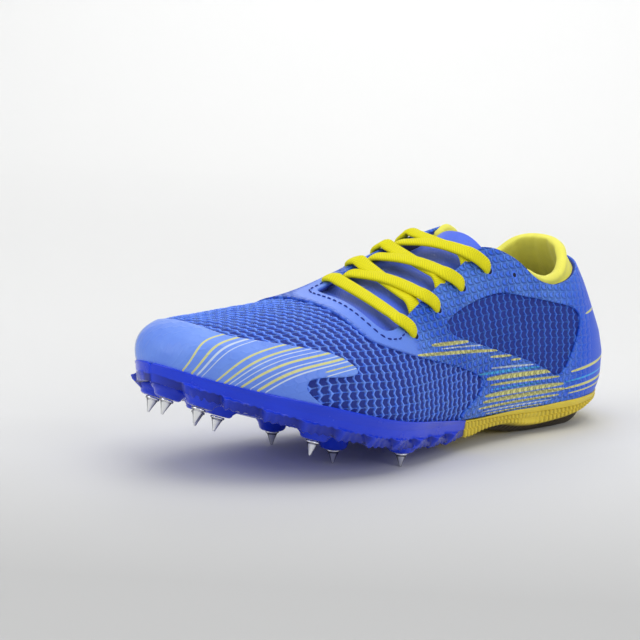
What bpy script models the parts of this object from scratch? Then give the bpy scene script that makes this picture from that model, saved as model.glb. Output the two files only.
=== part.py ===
"""Left track spike shoe, built on a last.

Metres, +Z up. The toe points along -Y and the outer (lateral) side of the foot is +X.
The origin is the middle of the flat spot under the heel, on the floor.
A station is a share of the last's length, 0 at the back of the heel and 1 at the toe.
An angle goes round a section of the last: 0 at its widest line, 90 on the ridge, and
FEATHER_ANGLE at the feather edge, where the upper meets the sole.
"""
import math

import bmesh
import bpy
from mathutils import Vector

# Sizes of the last
LENGTH = 0.280
BALL_WIDTH = 0.095
INSTEP_HEIGHT = 0.095
HEEL_STACK = 0.012
BALL_STACK = 0.0175
TOE_LIFT = 0.0305
HEEL_LEAN = 0.020
WIDE_LINE = 0.010
REST_STATION = 0.16
HEEL_ROUND = 0.16
TOE_ROUND = 0.20
TOE_SLOPE = 0.10

# Sizes of the upper, its films and what is inside it
WALL = 0.0014
GAP = 0.0003
FILM = 0.0007
COLLAR_RISE = 0.077
PAD_THICKNESS = 0.0058
PAD_DEPTH = 0.030
PAD_LIP = 0.0030
PAD_END = 0.285
PAD_CLEARANCE = 0.0008
TONGUE_THICKNESS = 0.0024
TONGUE_TOP = 0.352
TONGUE_ROOT = 0.70
TONGUE_CROWN = 0.016
TONGUE_MARGIN = 0.0075
TONGUE_SAG = 0.0075
INSOLE_THICKNESS = 0.0028

# Sizes of the plate, the heel sole and the pins
SOLE_SPLIT = 0.455
PLATE_THICKNESS = 0.0082
PLATE_OUTSET = 0.0012
TOOTH_DEPTH = 0.0034
HEEL_OUTSET = 0.0016
HEEL_TAIL = 0.0012
TAIL_REACH = 0.06
HEEL_STEP = 0.0009
PIN_LENGTH = 0.0065
PIN_RADIUS = 0.0030
PIN_TIP = 0.0006
FLANGE_RADIUS = 0.0040
FLANGE_THICKNESS = 0.0010
BOSS_RADIUS = 0.0062
BOSS_FOOT = 0.0084
BOSS_HEIGHT = 0.0030
UNDERSIDE_INSET = 0.0045

# Sizes of the lace: how far behind its eyelet a strand comes out, how far inside the throat's
# edge it does so, and how far it bows up on its way across as a share of that way
LACE_WIDTH = 0.0070
LACE_THICKNESS = 0.0024
LACE_STEP = 0.0095
LACE_INSET = 0.0035
LACE_MARGIN = 0.0015
LACE_BOW = 0.03
LACE_PITCH = 0.006

# Counts of rows and steps
HEEL_ROWS = 6
MIDDLE_ROWS = 15
TOE_ROWS = 9
WALL_STEPS = 10
COLLAR_STEPS = 26
THROAT_STEPS = 10
CORNER_STEPS = 8
TONGUE_ROWS = 10
TONGUE_STEPS = 8
INSOLE_STEPS = 4
PLATE_ROWS = 18
PLATE_TURNS = 12
ARCH_ROWS = 14
HEEL_TURNS = 9
LACE_SIDES = 8
PIN_SIDES = 12

# Roundness: the angle where the last's side meets the sole, the angle where the films start,
# and exponents of the last's sections, of its toe and of the throat's front corners
FEATHER_ANGLE = -25.0
FILM_FOOT = -17.0
FULLNESS = 2.25
TOE_FULLNESS = 2.2
CORNER = 0.5

# Sections of the last: station, then centre, half width and ridge offset as shares of
# BALL_WIDTH, with the ridge height as a share of INSTEP_HEIGHT
LAST = (
    # station, centre, half width, ridge offset, ridge height
    (0.00, 0.000, 0.347, 0.000, 0.950),
    (0.12, 0.000, 0.342, 0.000, 0.960),
    (0.25, 0.000, 0.337, -0.005, 0.960),
    (0.35, 0.011, 0.337, -0.021, 0.918),
    (0.45, 0.026, 0.358, -0.042, 0.830),
    (0.55, 0.042, 0.416, -0.063, 0.712),
    (0.65, 0.047, 0.484, -0.074, 0.576),
    (0.72, 0.042, 0.500, -0.074, 0.500),
    (0.80, 0.016, 0.489, -0.063, 0.416),
    (0.88, -0.032, 0.456, -0.042, 0.326),
    (0.94, -0.063, 0.432, -0.021, 0.268),
    (1.00, -0.100, 0.411, 0.000, 0.232),
)

# Height of the feather edge: shares of HEEL_STACK, BALL_STACK and TOE_LIFT
FEATHER = (
    # station, heel stack, ball stack, toe lift
    (0.00, 1.20, 0.00, 0.00),
    (0.15, 1.00, 0.00, 0.00),
    (0.30, 0.70, 0.25, 0.00),
    (0.45, 0.30, 0.62, 0.00),
    (0.60, 0.00, 1.00, 0.00),
    (0.70, 0.00, 1.00, 0.13),
    (0.80, 0.00, 1.00, 0.36),
    (0.90, 0.00, 1.00, 0.64),
    (1.00, 0.00, 1.00, 1.00),
)

# Forward lean of the heel's back: share of INSTEP_HEIGHT above the feather edge, share of HEEL_LEAN
LEAN = (
    # height, lean
    (0.00, 0.05),
    (0.10, -0.11),
    (0.22, -0.14),
    (0.33, 0.06),
    (0.44, 0.40),
    (0.59, 0.84),
    (0.71, 1.25),
    (1.00, 2.10),
)
LEAN_REACH = 0.25

# Top edge of the quarter and collar: share of COLLAR_RISE above the feather edge
COLLAR = (
    # station, height
    (-0.06, 0.960),
    (0.02, 0.955),
    (0.07, 0.925),
    (0.12, 0.855),
    (0.17, 0.790),
    (0.21, 0.775),
    (0.25, 0.815),
    (0.29, 0.925),
    (0.33, 0.990),
    (0.37, 1.005),
)

# Edges of the throat, seen from above, as shares of BALL_WIDTH
THROAT = (
    # station, lateral edge, medial edge
    (0.33, 0.165, -0.150),
    (0.37, 0.178, -0.155),
    (0.41, 0.198, -0.152),
    (0.50, 0.250, -0.128),
    (0.58, 0.308, -0.098),
    (0.64, 0.365, -0.075),
)
THROAT_END = 0.676
THROAT_FLOOR = 0.45

# Outline of the toe film, seen from the side: share of INSTEP_HEIGHT above the floor
TOE_FILM = (
    # station, height
    (0.955, 0.710),
    (0.940, 0.655),
    (0.907, 0.637),
    (0.848, 0.610),
    (0.790, 0.575),
    (0.758, 0.510),
    (0.766, 0.478),
    (0.838, 0.490),
    (0.853, 0.465),
    (0.850, 0.420),
    (0.815, 0.340),
    (0.800, 0.200),
)

# Front edge of the quarter film, seen from the side
QUARTER_FRONT = (
    # station, height
    (0.716, 0.850),
    (0.716, 0.630),
    (0.677, 0.580),
    (0.615, 0.524),
    (0.508, 0.446),
    (0.435, 0.385),
    (0.400, 0.325),
    (0.435, 0.246),
    (0.473, 0.194),
    (0.490, 0.080),
)

# Mesh window in the quarter film, seen from the side
WINDOW = (
    # station, height
    (0.517, 0.618),
    (0.495, 0.658),
    (0.432, 0.710),
    (0.350, 0.750),
    (0.290, 0.715),
    (0.230, 0.682),
    (0.133, 0.618),
    (0.152, 0.463),
    (0.193, 0.268),
    (0.250, 0.367),
    (0.378, 0.478),
    (0.495, 0.574),
)

# Underside of the heel sole: share of HEEL_STACK above the floor
HEEL_UNDERSIDE = (
    # station, height
    (0.000, 0.86),
    (0.020, 0.52),
    (0.045, 0.24),
    (0.075, 0.05),
    (0.100, 0.00),
    (0.220, 0.00),
    (0.270, 0.08),
    (0.330, 0.34),
    (0.390, 0.50),
    (0.455, 0.55),
)

# Side of the plate, from the feather edge down: how far it stands out as a share of
# PLATE_OUTSET, and how deep as a share of its thickness
PLATE_SIDE = (
    # outset, depth
    (0.5, 0.00),
    (1.0, 0.12),
    (1.0, 0.45),
)

# Side of the heel sole: how far it steps in from HEEL_OUTSET as a share of HEEL_STEP, and how deep
HEEL_SIDE = (
    # step, depth
    (0.0, 0.00),
    (0.0, 0.22),
    (1.0, 0.26),
    (0.6, 0.50),
    (2.0, 0.54),
    (1.8, 0.80),
)

# Pins: station, place across as a share of BALL_WIDTH, and whether its tip stands on the floor
PINS = (
    # station, across, on floor
    (0.940, -0.270, False),
    (0.958, -0.120, False),
    (0.810, -0.375, False),
    (0.952, 0.070, False),
    (0.875, -0.045, False),
    (0.680, -0.270, True),
    (0.797, 0.335, False),
    (0.695, 0.175, True),
    (0.620, 0.400, True),
)

# Eyelets, front to back, on each side: station, and place across as a share of BALL_WIDTH
EYELETS = (
    # lateral station, lateral place, medial station, medial place
    (0.600, 0.385, 0.620, -0.130),
    (0.518, 0.312, 0.555, -0.165),
    (0.440, 0.262, 0.490, -0.185),
    (0.366, 0.238, 0.425, -0.205),
)

# Sag of the tongue along its length: share of the way to the front, share of TONGUE_SAG
SAG = (
    # way, sag
    (0.00, 0.30),
    (0.12, 1.00),
    (0.60, 0.75),
    (1.00, 0.15),
)

COLOURS = {
    # name: base colour, roughness, metallic
    "mesh": ((0.030, 0.070, 0.42), 0.80, 0.0),
    "film": ((0.110, 0.200, 0.72), 0.45, 0.0),
    "plate": ((0.030, 0.055, 0.60), 0.25, 0.0),
    "heel rubber": ((0.76, 0.60, 0.05), 0.55, 0.0),
    "lining": ((0.78, 0.68, 0.16), 0.90, 0.0),
    "tongue": ((0.070, 0.140, 0.62), 0.60, 0.0),
    "insole": ((0.10, 0.12, 0.30), 0.90, 0.0),
    "lace": ((0.90, 0.76, 0.02), 0.70, 0.0),
    "steel": ((0.72, 0.72, 0.74), 0.20, 1.0),
}


def curve(rows, column, at):
    """A smooth curve through one column of a table, read at a station."""
    xs = [row[0] for row in rows]
    ys = [row[column] for row in rows]
    at = min(max(at, xs[0]), xs[-1])
    steps = [(ys[i + 1] - ys[i]) / (xs[i + 1] - xs[i]) for i in range(len(xs) - 1)]
    slopes = [steps[0]]
    for i in range(1, len(steps)):
        before = xs[i] - xs[i - 1]
        after = xs[i + 1] - xs[i]
        slopes.append((steps[i - 1] * after + steps[i] * before) / (before + after))
    slopes.append(steps[-1])
    i = max(k for k in range(len(steps)) if xs[k] <= at)
    width = xs[i + 1] - xs[i]
    u = (at - xs[i]) / width
    rise = u * u * (3 - 2 * u)
    return (ys[i] * (1 - rise) + ys[i + 1] * rise
            + width * slopes[i] * u * (1 - u) ** 2 - width * slopes[i + 1] * u * u * (1 - u))


def ramp(rows, column, at):
    """A table read with straight lines between its rows."""
    at = min(max(at, rows[0][0]), rows[-1][0])
    for low, high in zip(rows, rows[1:]):
        if at <= high[0]:
            return low[column] + (high[column] - low[column]) * (at - low[0]) / (high[0] - low[0])
    return rows[-1][column]


def along(station):
    """The Y of a station."""
    return -(station - REST_STATION) * LENGTH


def feather(station):
    """Height of the feather edge above the floor."""
    station = min(max(station, 0.0), 1.0)
    return (curve(FEATHER, 1, station) * HEEL_STACK + curve(FEATHER, 2, station) * BALL_STACK
            + curve(FEATHER, 3, station) * TOE_LIFT)


def half_width(station):
    """Half the width of the last, closed in round ends at heel and toe."""
    heel = max(0.0, 1 - station / HEEL_ROUND)
    toe = max(0.0, 1 - (1 - station) / TOE_ROUND)
    return (curve(LAST, 2, station) * BALL_WIDTH * math.sqrt(max(0.0, 1 - heel ** 2))
            * math.sqrt(max(0.0, 1 - toe ** 2)))


def ridge_height(station):
    """Height of the last's ridge above the feather edge."""
    slope = max(0.0, 1 - (1 - station) / TOE_SLOPE)
    rounding = max(0.0, 1 - slope ** TOE_FULLNESS) ** (1 / TOE_FULLNESS)
    return curve(LAST, 4, station) * INSTEP_HEIGHT * rounding


def last_point(station, angle, side):
    """A point on the last. side is 1 on the lateral half and -1 on the medial one."""
    height = ridge_height(station)
    drop = WIDE_LINE * min(1.0, height / (3 * WIDE_LINE))
    turn = math.radians(angle)
    out = abs(math.cos(turn)) ** (2 / FULLNESS)
    if angle >= 0:
        up = drop + (height - drop) * math.sin(turn) ** (2 / FULLNESS)
    else:
        up = drop - drop * math.sin(turn) / math.sin(math.radians(FEATHER_ANGLE))
    rise = up / height if height > 1e-6 else 0.0
    x = (curve(LAST, 1, station) + curve(LAST, 3, station) * rise) * BALL_WIDTH
    fade = max(0.0, 1 - station / LEAN_REACH) ** 1.5
    lean = ramp(LEAN, 1, up / INSTEP_HEIGHT) * HEEL_LEAN * fade
    return Vector((x + side * half_width(station) * out, along(station) - lean, feather(station) + up))


def stations():
    """Rows of the last, close together where heel and toe turn round."""
    heel = [HEEL_ROUND * (1 - math.cos(math.pi / 2 * i / HEEL_ROWS)) for i in range(HEEL_ROWS)]
    span = 1 - HEEL_ROUND - TOE_ROUND
    middle = [HEEL_ROUND + span * i / MIDDLE_ROWS for i in range(MIDDLE_ROWS)]
    toe = [1 - TOE_ROUND * (1 - math.sin(math.pi / 2 * i / TOE_ROWS)) for i in range(TOE_ROWS + 1)]
    return heel + middle + toe


def rim(station, side, outset, drop):
    """A point beside the feather edge: outset away from the foot, drop below the edge."""
    turn = 0.002
    low = max(station - turn, 0.0)
    high = min(station + turn, 1.0)
    a = last_point(low, FEATHER_ANGLE, side)
    b = last_point(high, FEATHER_ANGLE, side)
    if station <= turn / 2:
        tangent = Vector((1, 0, 0)) * side
    elif station >= 1 - turn / 2:
        tangent = Vector((-1, 0, 0)) * side
    else:
        tangent = Vector((b.x - a.x, b.y - a.y, 0)).normalized()
    normal = Vector((-tangent.y, tangent.x, 0)) * side
    place = last_point(station, FEATHER_ANGLE, side)
    return Vector((place.x, place.y, 0)) + normal * outset + Vector((0, 0, feather(station) - drop))


def skin(station, across):
    """The point on the top of the last at a station and a distance across."""
    low = 0.0
    high = 180.0
    for _ in range(40):
        middle = (low + high) / 2
        side = 1 if middle < 90 else -1
        place = last_point(station, middle if middle < 90 else 180 - middle, side)
        if place.x > across:
            low = middle
        else:
            high = middle
    return place


def collection(name):
    made = bpy.data.collections.new(name)
    bpy.context.scene.collection.children.link(made)
    return made


def material(name):
    made = bpy.data.materials.get(name)
    if made:
        return made
    made = bpy.data.materials.new(name)
    made.use_nodes = True
    colour, roughness, metallic = COLOURS[name]
    shader = made.node_tree.nodes["Principled BSDF"]
    shader.inputs["Base Color"].default_value = (*colour, 1)
    shader.inputs["Roughness"].default_value = roughness
    shader.inputs["Metallic"].default_value = metallic
    return made


def place(name, mesh, finish):
    """A mesh as a named object in the shoe's collection."""
    made = bpy.data.objects.new(name, mesh)
    SHOE.objects.link(made)
    if finish:
        mesh.materials.append(material(finish))
    for face in mesh.polygons:
        face.use_smooth = True
    mesh.set_sharp_from_angle(angle=math.radians(40))
    return made


def loft(name, rings, closed=False, ends=False):
    """A mesh skinned over rows of points. closed joins a row's ends, ends caps the two last rows."""
    sheet = bmesh.new()
    rows = [[sheet.verts.new(point) for point in ring] for ring in rings]
    count = len(rows[0])
    for low, high in zip(rows, rows[1:]):
        for i in range(count if closed else count - 1):
            j = (i + 1) % count
            sheet.faces.new((low[i], low[j], high[j], high[i]))
    if ends:
        sheet.faces.new(rows[0][::-1])
        sheet.faces.new(rows[-1])
    bmesh.ops.remove_doubles(sheet, verts=sheet.verts, dist=0.00002)
    bmesh.ops.dissolve_degenerate(sheet, edges=sheet.edges, dist=0.00001)
    bmesh.ops.recalc_face_normals(sheet, faces=sheet.faces)
    if closed and sheet.calc_volume(signed=True) < 0:
        bmesh.ops.reverse_faces(sheet, faces=sheet.faces)
    mesh = bpy.data.meshes.new(name)
    sheet.to_mesh(mesh)
    sheet.free()
    return mesh


def outward(mesh, centre):
    """Turns an open sheet's faces away from a point inside it."""
    away = sum((face.center - centre).dot(face.normal) * face.area for face in mesh.polygons)
    if away < 0:
        mesh.flip_normals()
    mesh.update()


def swell(mesh, distance):
    """Moves a sheet along its own normals."""
    normals = [vertex.normal.copy() for vertex in mesh.vertices]
    for vertex, normal in zip(mesh.vertices, normals):
        vertex.co += normal * distance
    mesh.update()


def thicken(piece, thickness, direction):
    """A wall of even thickness. direction is -1 for inwards and 1 for outwards."""
    wall = piece.modifiers.new("wall", "SOLIDIFY")
    wall.thickness = thickness
    wall.offset = direction
    wall.use_even_offset = True
    wall.use_quality_normals = True


def prism(name, outline, axis, low, high):
    """A closed block: an outline in the plane square to an axis, drawn out between two values."""
    def point(pair, value):
        if axis == "X":
            return Vector((value, pair[0], pair[1]))
        return Vector((pair[0], pair[1], value))
    rings = [[point(pair, value) for pair in outline] for value in (low, high)]
    mesh = loft(name, rings, closed=True, ends=True)
    made = bpy.data.objects.new(name, mesh)
    CUTTERS.objects.link(made)
    made.hide_render = True
    made.display_type = "WIRE"
    return made


def combine(piece, other, operation):
    step = piece.modifiers.new(other.name, "BOOLEAN")
    step.object = other
    step.operation = operation


def side_view(rows):
    """A table of station and height as an outline in Y and Z."""
    return [(along(station), height * INSTEP_HEIGHT) for station, height in rows]


def last_sheet(name, foot=FEATHER_ANGLE, outset=0.0):
    """The skin of the last above the angle foot, as an open sheet moved out by outset."""
    rings = []
    for station in stations():
        turns = [FEATHER_ANGLE + (90 - FEATHER_ANGLE) * i / WALL_STEPS for i in range(WALL_STEPS + 1)]
        turns[0] = foot
        lateral = [last_point(station, turn, 1) for turn in turns]
        medial = [last_point(station, turn, -1) for turn in turns[-2::-1]]
        rings.append(lateral + medial)
    mesh = loft(name, rings)
    outward(mesh, Vector((0, along(0.5), feather(0.5))))
    if outset:
        swell(mesh, outset)
    return mesh


def collar_cutter():
    """What lies above the collar and the top of the quarter."""
    low = COLLAR[0][0]
    high = COLLAR[-1][0]
    line = []
    for i in range(COLLAR_STEPS + 1):
        station = low + (high - low) * i / COLLAR_STEPS
        line.append((along(station), feather(station) + curve(COLLAR, 1, station) * COLLAR_RISE))
    top = 2 * INSTEP_HEIGHT
    outline = line + [(along(high), top), (along(low), top)]
    return prism("collar cutter", outline, "X", -BALL_WIDTH, BALL_WIDTH)


def throat_cutter():
    """The throat from above: up one side, round its front end and down the other."""
    low = THROAT[0][0]
    high = THROAT[-1][0]
    picks = [low + (high - low) * i / THROAT_STEPS for i in range(THROAT_STEPS + 1)]
    lateral = [(curve(THROAT, 1, pick) * BALL_WIDTH, along(pick)) for pick in picks]
    medial = [(curve(THROAT, 2, pick) * BALL_WIDTH, along(pick)) for pick in picks[::-1]]
    middle = (lateral[-1][0] + medial[0][0]) / 2
    reach = (lateral[-1][0] - medial[0][0]) / 2
    bulge = along(THROAT_END) - along(high)
    front = []
    for i in range(1, CORNER_STEPS):
        turn = math.pi * i / CORNER_STEPS
        corner = abs(math.cos(turn)) ** CORNER * math.copysign(1, math.cos(turn))
        front.append((middle + reach * corner, along(high) + bulge * math.sin(turn) ** CORNER))
    outline = lateral + front + medial
    return prism("throat cutter", outline, "Z", THROAT_FLOOR * INSTEP_HEIGHT, 2 * INSTEP_HEIGHT)


def upper(cutters):
    """The hollow wall of the shoe, open at the collar, at the throat and underneath."""
    piece = place("upper", last_sheet("upper"), "mesh")
    thicken(piece, WALL, -1)
    for cutter in cutters:
        combine(piece, cutter, "DIFFERENCE")


def toe_film():
    """The smooth film round the toe, cut from the upper's own form."""
    piece = place("toe_film", last_sheet("toe_film", FILM_FOOT, GAP), "film")
    thicken(piece, FILM, 1)
    front = along(1.1)
    beyond = [(front, TOE_FILM[-1][1] * INSTEP_HEIGHT), (front, INSTEP_HEIGHT),
              (along(TOE_FILM[0][0]), INSTEP_HEIGHT)]
    outline = prism("toe film outline", beyond + side_view(TOE_FILM), "X", -BALL_WIDTH, BALL_WIDTH)
    combine(piece, outline, "INTERSECT")


def quarter_film(cutters):
    """The film over quarters, eyestay and heel, open at the collar, the throat and a mesh window."""
    piece = place("quarter_film", last_sheet("quarter_film", FILM_FOOT, GAP), "film")
    thicken(piece, FILM, 1)
    back = along(-0.1)
    top = 2 * INSTEP_HEIGHT
    outline = [(back, 0.0), (back, top), (along(QUARTER_FRONT[0][0]), top)] + side_view(QUARTER_FRONT)
    outline.append((along(QUARTER_FRONT[-1][0]), 0.0))
    combine(piece, prism("quarter film outline", outline, "X", -BALL_WIDTH, BALL_WIDTH), "INTERSECT")
    for cutter in cutters:
        combine(piece, cutter, "DIFFERENCE")
    window = prism("quarter window", side_view(WINDOW), "X", -BALL_WIDTH, BALL_WIDTH)
    combine(piece, window, "DIFFERENCE")


def wall_at(station, height, side):
    """A point on the last at a height above the feather edge."""
    low = 0.0
    high = 90.0
    for _ in range(30):
        middle = (low + high) / 2
        if last_point(station, middle, side).z - feather(station) < height:
            low = middle
        else:
            high = middle
    return last_point(station, low, side)


def collar_lining():
    """The padded cuff: a band inside the collar that stands a little above its edge."""
    picks = [station for station in stations() if station < PAD_END] + [PAD_END]
    path = [(pick, 1) for pick in picks[::-1]] + [(pick, -1) for pick in picks[1:]]
    shares = (-PAD_LIP, 0.0, PAD_DEPTH * 0.33, PAD_DEPTH * 0.66, PAD_DEPTH)
    rings = []
    for station, side in path:
        edge = curve(COLLAR, 1, station) * COLLAR_RISE
        rings.append([wall_at(station, edge - down, side) for down in shares])
    mesh = loft("collar_lining", rings)
    outward(mesh, Vector((0, along(0.12), feather(0.12) + COLLAR_RISE / 2)))
    swell(mesh, -(WALL + PAD_CLEARANCE))
    piece = place("collar_lining", mesh, "lining")
    thicken(piece, PAD_THICKNESS, -1)
    edge = piece.modifiers.new("soft edge", "BEVEL")
    edge.width = PAD_THICKNESS * 0.32
    edge.segments = 2
    edge.limit_method = "ANGLE"
    edge.angle_limit = math.radians(50)


def tongue():
    """A curved sheet under the throat, longer than it at both ends, that sags between its edges."""
    rings = []
    for i in range(TONGUE_ROWS + 1):
        way = i / TONGUE_ROWS
        station = TONGUE_TOP + (TONGUE_ROOT - TONGUE_TOP) * way
        inside = min(station, THROAT[-1][0])
        lateral = curve(THROAT, 1, inside) * BALL_WIDTH + TONGUE_MARGIN
        medial = curve(THROAT, 2, inside) * BALL_WIDTH - TONGUE_MARGIN
        sag = TONGUE_SAG * curve(SAG, 1, way)
        ring = []
        for j in range(TONGUE_STEPS + 1):
            share = j / TONGUE_STEPS
            corner = TONGUE_CROWN * abs(2 * share - 1) ** 2.5 * (1 - way)
            spot = skin(station - corner, lateral + (medial - lateral) * share)
            ring.append(spot - Vector((0, 0, sag * math.sin(math.pi * share))))
        rings.append(ring)
    mesh = loft("tongue", rings)
    outward(mesh, Vector((0, along(0.5), 0)))
    swell(mesh, -(WALL + 2 * GAP))
    piece = place("tongue", mesh, "tongue")
    thicken(piece, TONGUE_THICKNESS, -1)


def insole():
    """A flat sheet that fills the floor of the shoe inside the wall."""
    rings = []
    for station in stations():
        lateral = rim(station, 1, -(WALL + 3 * GAP), 0)
        medial = rim(station, -1, -(WALL + 3 * GAP), 0)
        rings.append([lateral.lerp(medial, j / INSOLE_STEPS) for j in range(INSOLE_STEPS + 1)])
    mesh = loft("insole", rings)
    outward(mesh, Vector((0, along(0.5), -LENGTH)))
    piece = place("insole", mesh, "insole")
    thicken(piece, INSOLE_THICKNESS, 1)


def sole_rings(rows, profile_at):
    """Rings round a sole: down its lateral side, under it and up its medial side."""
    rings = []
    for index, station in enumerate(rows):
        side_points, depth = profile_at(index, station)
        lateral = [rim(station, 1, outset, drop) for outset, drop in side_points]
        medial = [rim(station, -1, outset, drop) for outset, drop in side_points[::-1]]
        middle = (lateral[-1] + medial[0]) / 2
        middle.z = feather(station) - depth
        top = (lateral[0] + medial[-1]) / 2
        rings.append(lateral + [middle] + medial + [top])
    return rings


def spike_plate():
    """The stiff forefoot plate: smooth band, toothed lower edge, and a boss for each pin."""
    start = SOLE_SPLIT + GAP / LENGTH
    span = 1 - TOE_ROUND - start
    straight = [start + span * i / PLATE_ROWS for i in range(PLATE_ROWS)]
    turns = [math.pi / 2 * i / PLATE_TURNS for i in range(PLATE_TURNS + 1)]
    rows = straight + [1 - TOE_ROUND * (1 - math.sin(turn)) for turn in turns]

    def profile_at(index, station):
        tooth = TOOTH_DEPTH if index % 2 else 0.0
        depth = GAP + PLATE_THICKNESS
        side_points = [(PLATE_OUTSET * outset, GAP + PLATE_THICKNESS * low) for outset, low in PLATE_SIDE]
        side_points.append((PLATE_OUTSET * 0.2 - tooth * 0.4, depth - TOOTH_DEPTH * 0.7 + tooth))
        side_points.append((-UNDERSIDE_INSET, depth + tooth * 0.4))
        return side_points, depth
    mesh = loft("spike_plate", sole_rings(rows, profile_at), closed=True, ends=True)
    piece = place("spike_plate", mesh, "plate")
    for number, row in enumerate(PINS, 1):
        spot, axis, height = pin_seat(row)
        reach = height + PLATE_THICKNESS / 2
        boss = cone(f"boss {number}", BOSS_RADIUS, BOSS_FOOT, reach, spot - axis * reach / 2, axis)
        combine(piece, boss, "UNION")


def pin_seat(row):
    """Where a pin sits: the underside of its boss, the way up out of the pin, the boss's height."""
    station, across, on_floor = row
    slope = (feather(station + 0.01) - feather(station - 0.01)) / (0.02 * LENGTH)
    under = feather(station) - GAP - PLATE_THICKNESS
    if on_floor:
        axis = Vector((0, 0, 1))
        height = under - PIN_LENGTH - GAP
    else:
        axis = Vector((0, slope, 1)).normalized()
        height = BOSS_HEIGHT
    root = Vector((across * BALL_WIDTH, along(station), under))
    return root - axis * height, -axis, height


def cone(name, low_radius, high_radius, depth, centre, axis):
    """A closed cone whose narrow end points along an axis."""
    bpy.ops.mesh.primitive_cone_add(vertices=PIN_SIDES, radius1=high_radius, radius2=low_radius,
                                    depth=depth, location=centre)
    made = bpy.context.object
    made.name = name
    made.rotation_euler = axis.to_track_quat("Z", "X").to_euler()
    for owner in made.users_collection:
        owner.objects.unlink(made)
    CUTTERS.objects.link(made)
    made.hide_render = True
    made.display_type = "WIRE"
    return made


def pins():
    """Screw-in steel pins: a flange and a tapered spike with a small flat tip."""
    shank = PIN_RADIUS * 0.92
    profile = (
        (0.0, 0.0),
        (FLANGE_RADIUS, 0.0),
        (FLANGE_RADIUS, -FLANGE_THICKNESS),
        (PIN_RADIUS, -FLANGE_THICKNESS * 1.3),
        (shank, -PIN_LENGTH * 0.35),
        (PIN_TIP, -PIN_LENGTH),
        (0.0, -PIN_LENGTH),
    )
    for number, row in enumerate(PINS, 1):
        spot, axis, _ = pin_seat(row)
        name = f"spike_{number}"
        mesh = bpy.data.meshes.new(name)
        mesh.from_pydata([(radius, 0, height) for radius, height in profile],
                         [(i, i + 1) for i in range(len(profile) - 1)], [])
        made = bpy.data.objects.new(name, mesh)
        SHOE.objects.link(made)
        mesh.materials.append(material("steel"))
        spin = made.modifiers.new("turn", "SCREW")
        spin.steps = PIN_SIDES
        spin.render_steps = PIN_SIDES
        spin.use_merge_vertices = True
        spin.merge_threshold = 0.00005
        spin.use_smooth_shade = True
        made.location = spot + axis * GAP
        made.rotation_euler = (-axis).to_track_quat("Z", "X").to_euler()


def heel_sole():
    """The rubber heel and arch piece: stepped side, arch, flat spot and a raised tail."""
    heel = [HEEL_ROUND * (1 - math.cos(math.pi / 2 * i / HEEL_TURNS)) for i in range(HEEL_TURNS)]
    end = SOLE_SPLIT - GAP / LENGTH
    rows = heel + [HEEL_ROUND + (end - HEEL_ROUND) * i / ARCH_ROWS for i in range(ARCH_ROWS + 1)]

    def profile_at(index, station):
        depth = feather(station) - ramp(HEEL_UNDERSIDE, 1, station) * HEEL_STACK
        tail = HEEL_TAIL * max(0.0, 1 - station / TAIL_REACH)
        side_points = []
        for step, share in HEEL_SIDE:
            side_points.append((HEEL_OUTSET - step * HEEL_STEP + tail, GAP + share * (depth - GAP)))
        side_points.append((-UNDERSIDE_INSET, depth))
        return side_points, depth
    mesh = loft("heel_sole", sole_rings(rows, profile_at), closed=True, ends=True)
    place("heel_sole", mesh, "heel rubber")


def over_last(station, across, lift):
    """A place above the top of the last, and the way up out of the last there."""
    spot = skin(station, across)
    side = skin(station, across + 0.001) - spot
    ahead = skin(station + 0.004, across) - spot
    normal = side.cross(ahead).normalized()
    if normal.z < 0:
        normal = -normal
    return spot + normal * lift, normal


def strap_path(stops):
    """Points and ways up along a strand that runs straight from stop to stop, a little bowed."""
    held = [over_last(*stop) for stop in stops]
    points = []
    for low, high in zip(held, held[1:]):
        length = (high[0] - low[0]).length
        steps = max(1, round(length / LACE_PITCH))
        for i in range(steps):
            share = i / steps
            normal = low[1].lerp(high[1], share).normalized()
            bow = LACE_BOW * length * math.sin(math.pi * share)
            points.append((low[0].lerp(high[0], share) + normal * bow, normal))
    points.append(held[-1])
    return points


def strap(name, stops):
    """A flat oval strip of lace through its stops, as a mesh."""
    points = strap_path(stops)
    rings = []
    for i, (spot, normal) in enumerate(points):
        ahead = points[min(i + 1, len(points) - 1)][0] - points[max(i - 1, 0)][0]
        across = ahead.cross(normal).normalized()
        ring = []
        for k in range(LACE_SIDES):
            turn = 2 * math.pi * (k + 0.5) / LACE_SIDES
            ring.append(spot + across * math.cos(turn) * LACE_WIDTH / 2
                        + normal * math.sin(turn) * LACE_THICKNESS / 2)
        rings.append(ring)
    return loft(name, rings, closed=True, ends=True)


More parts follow.
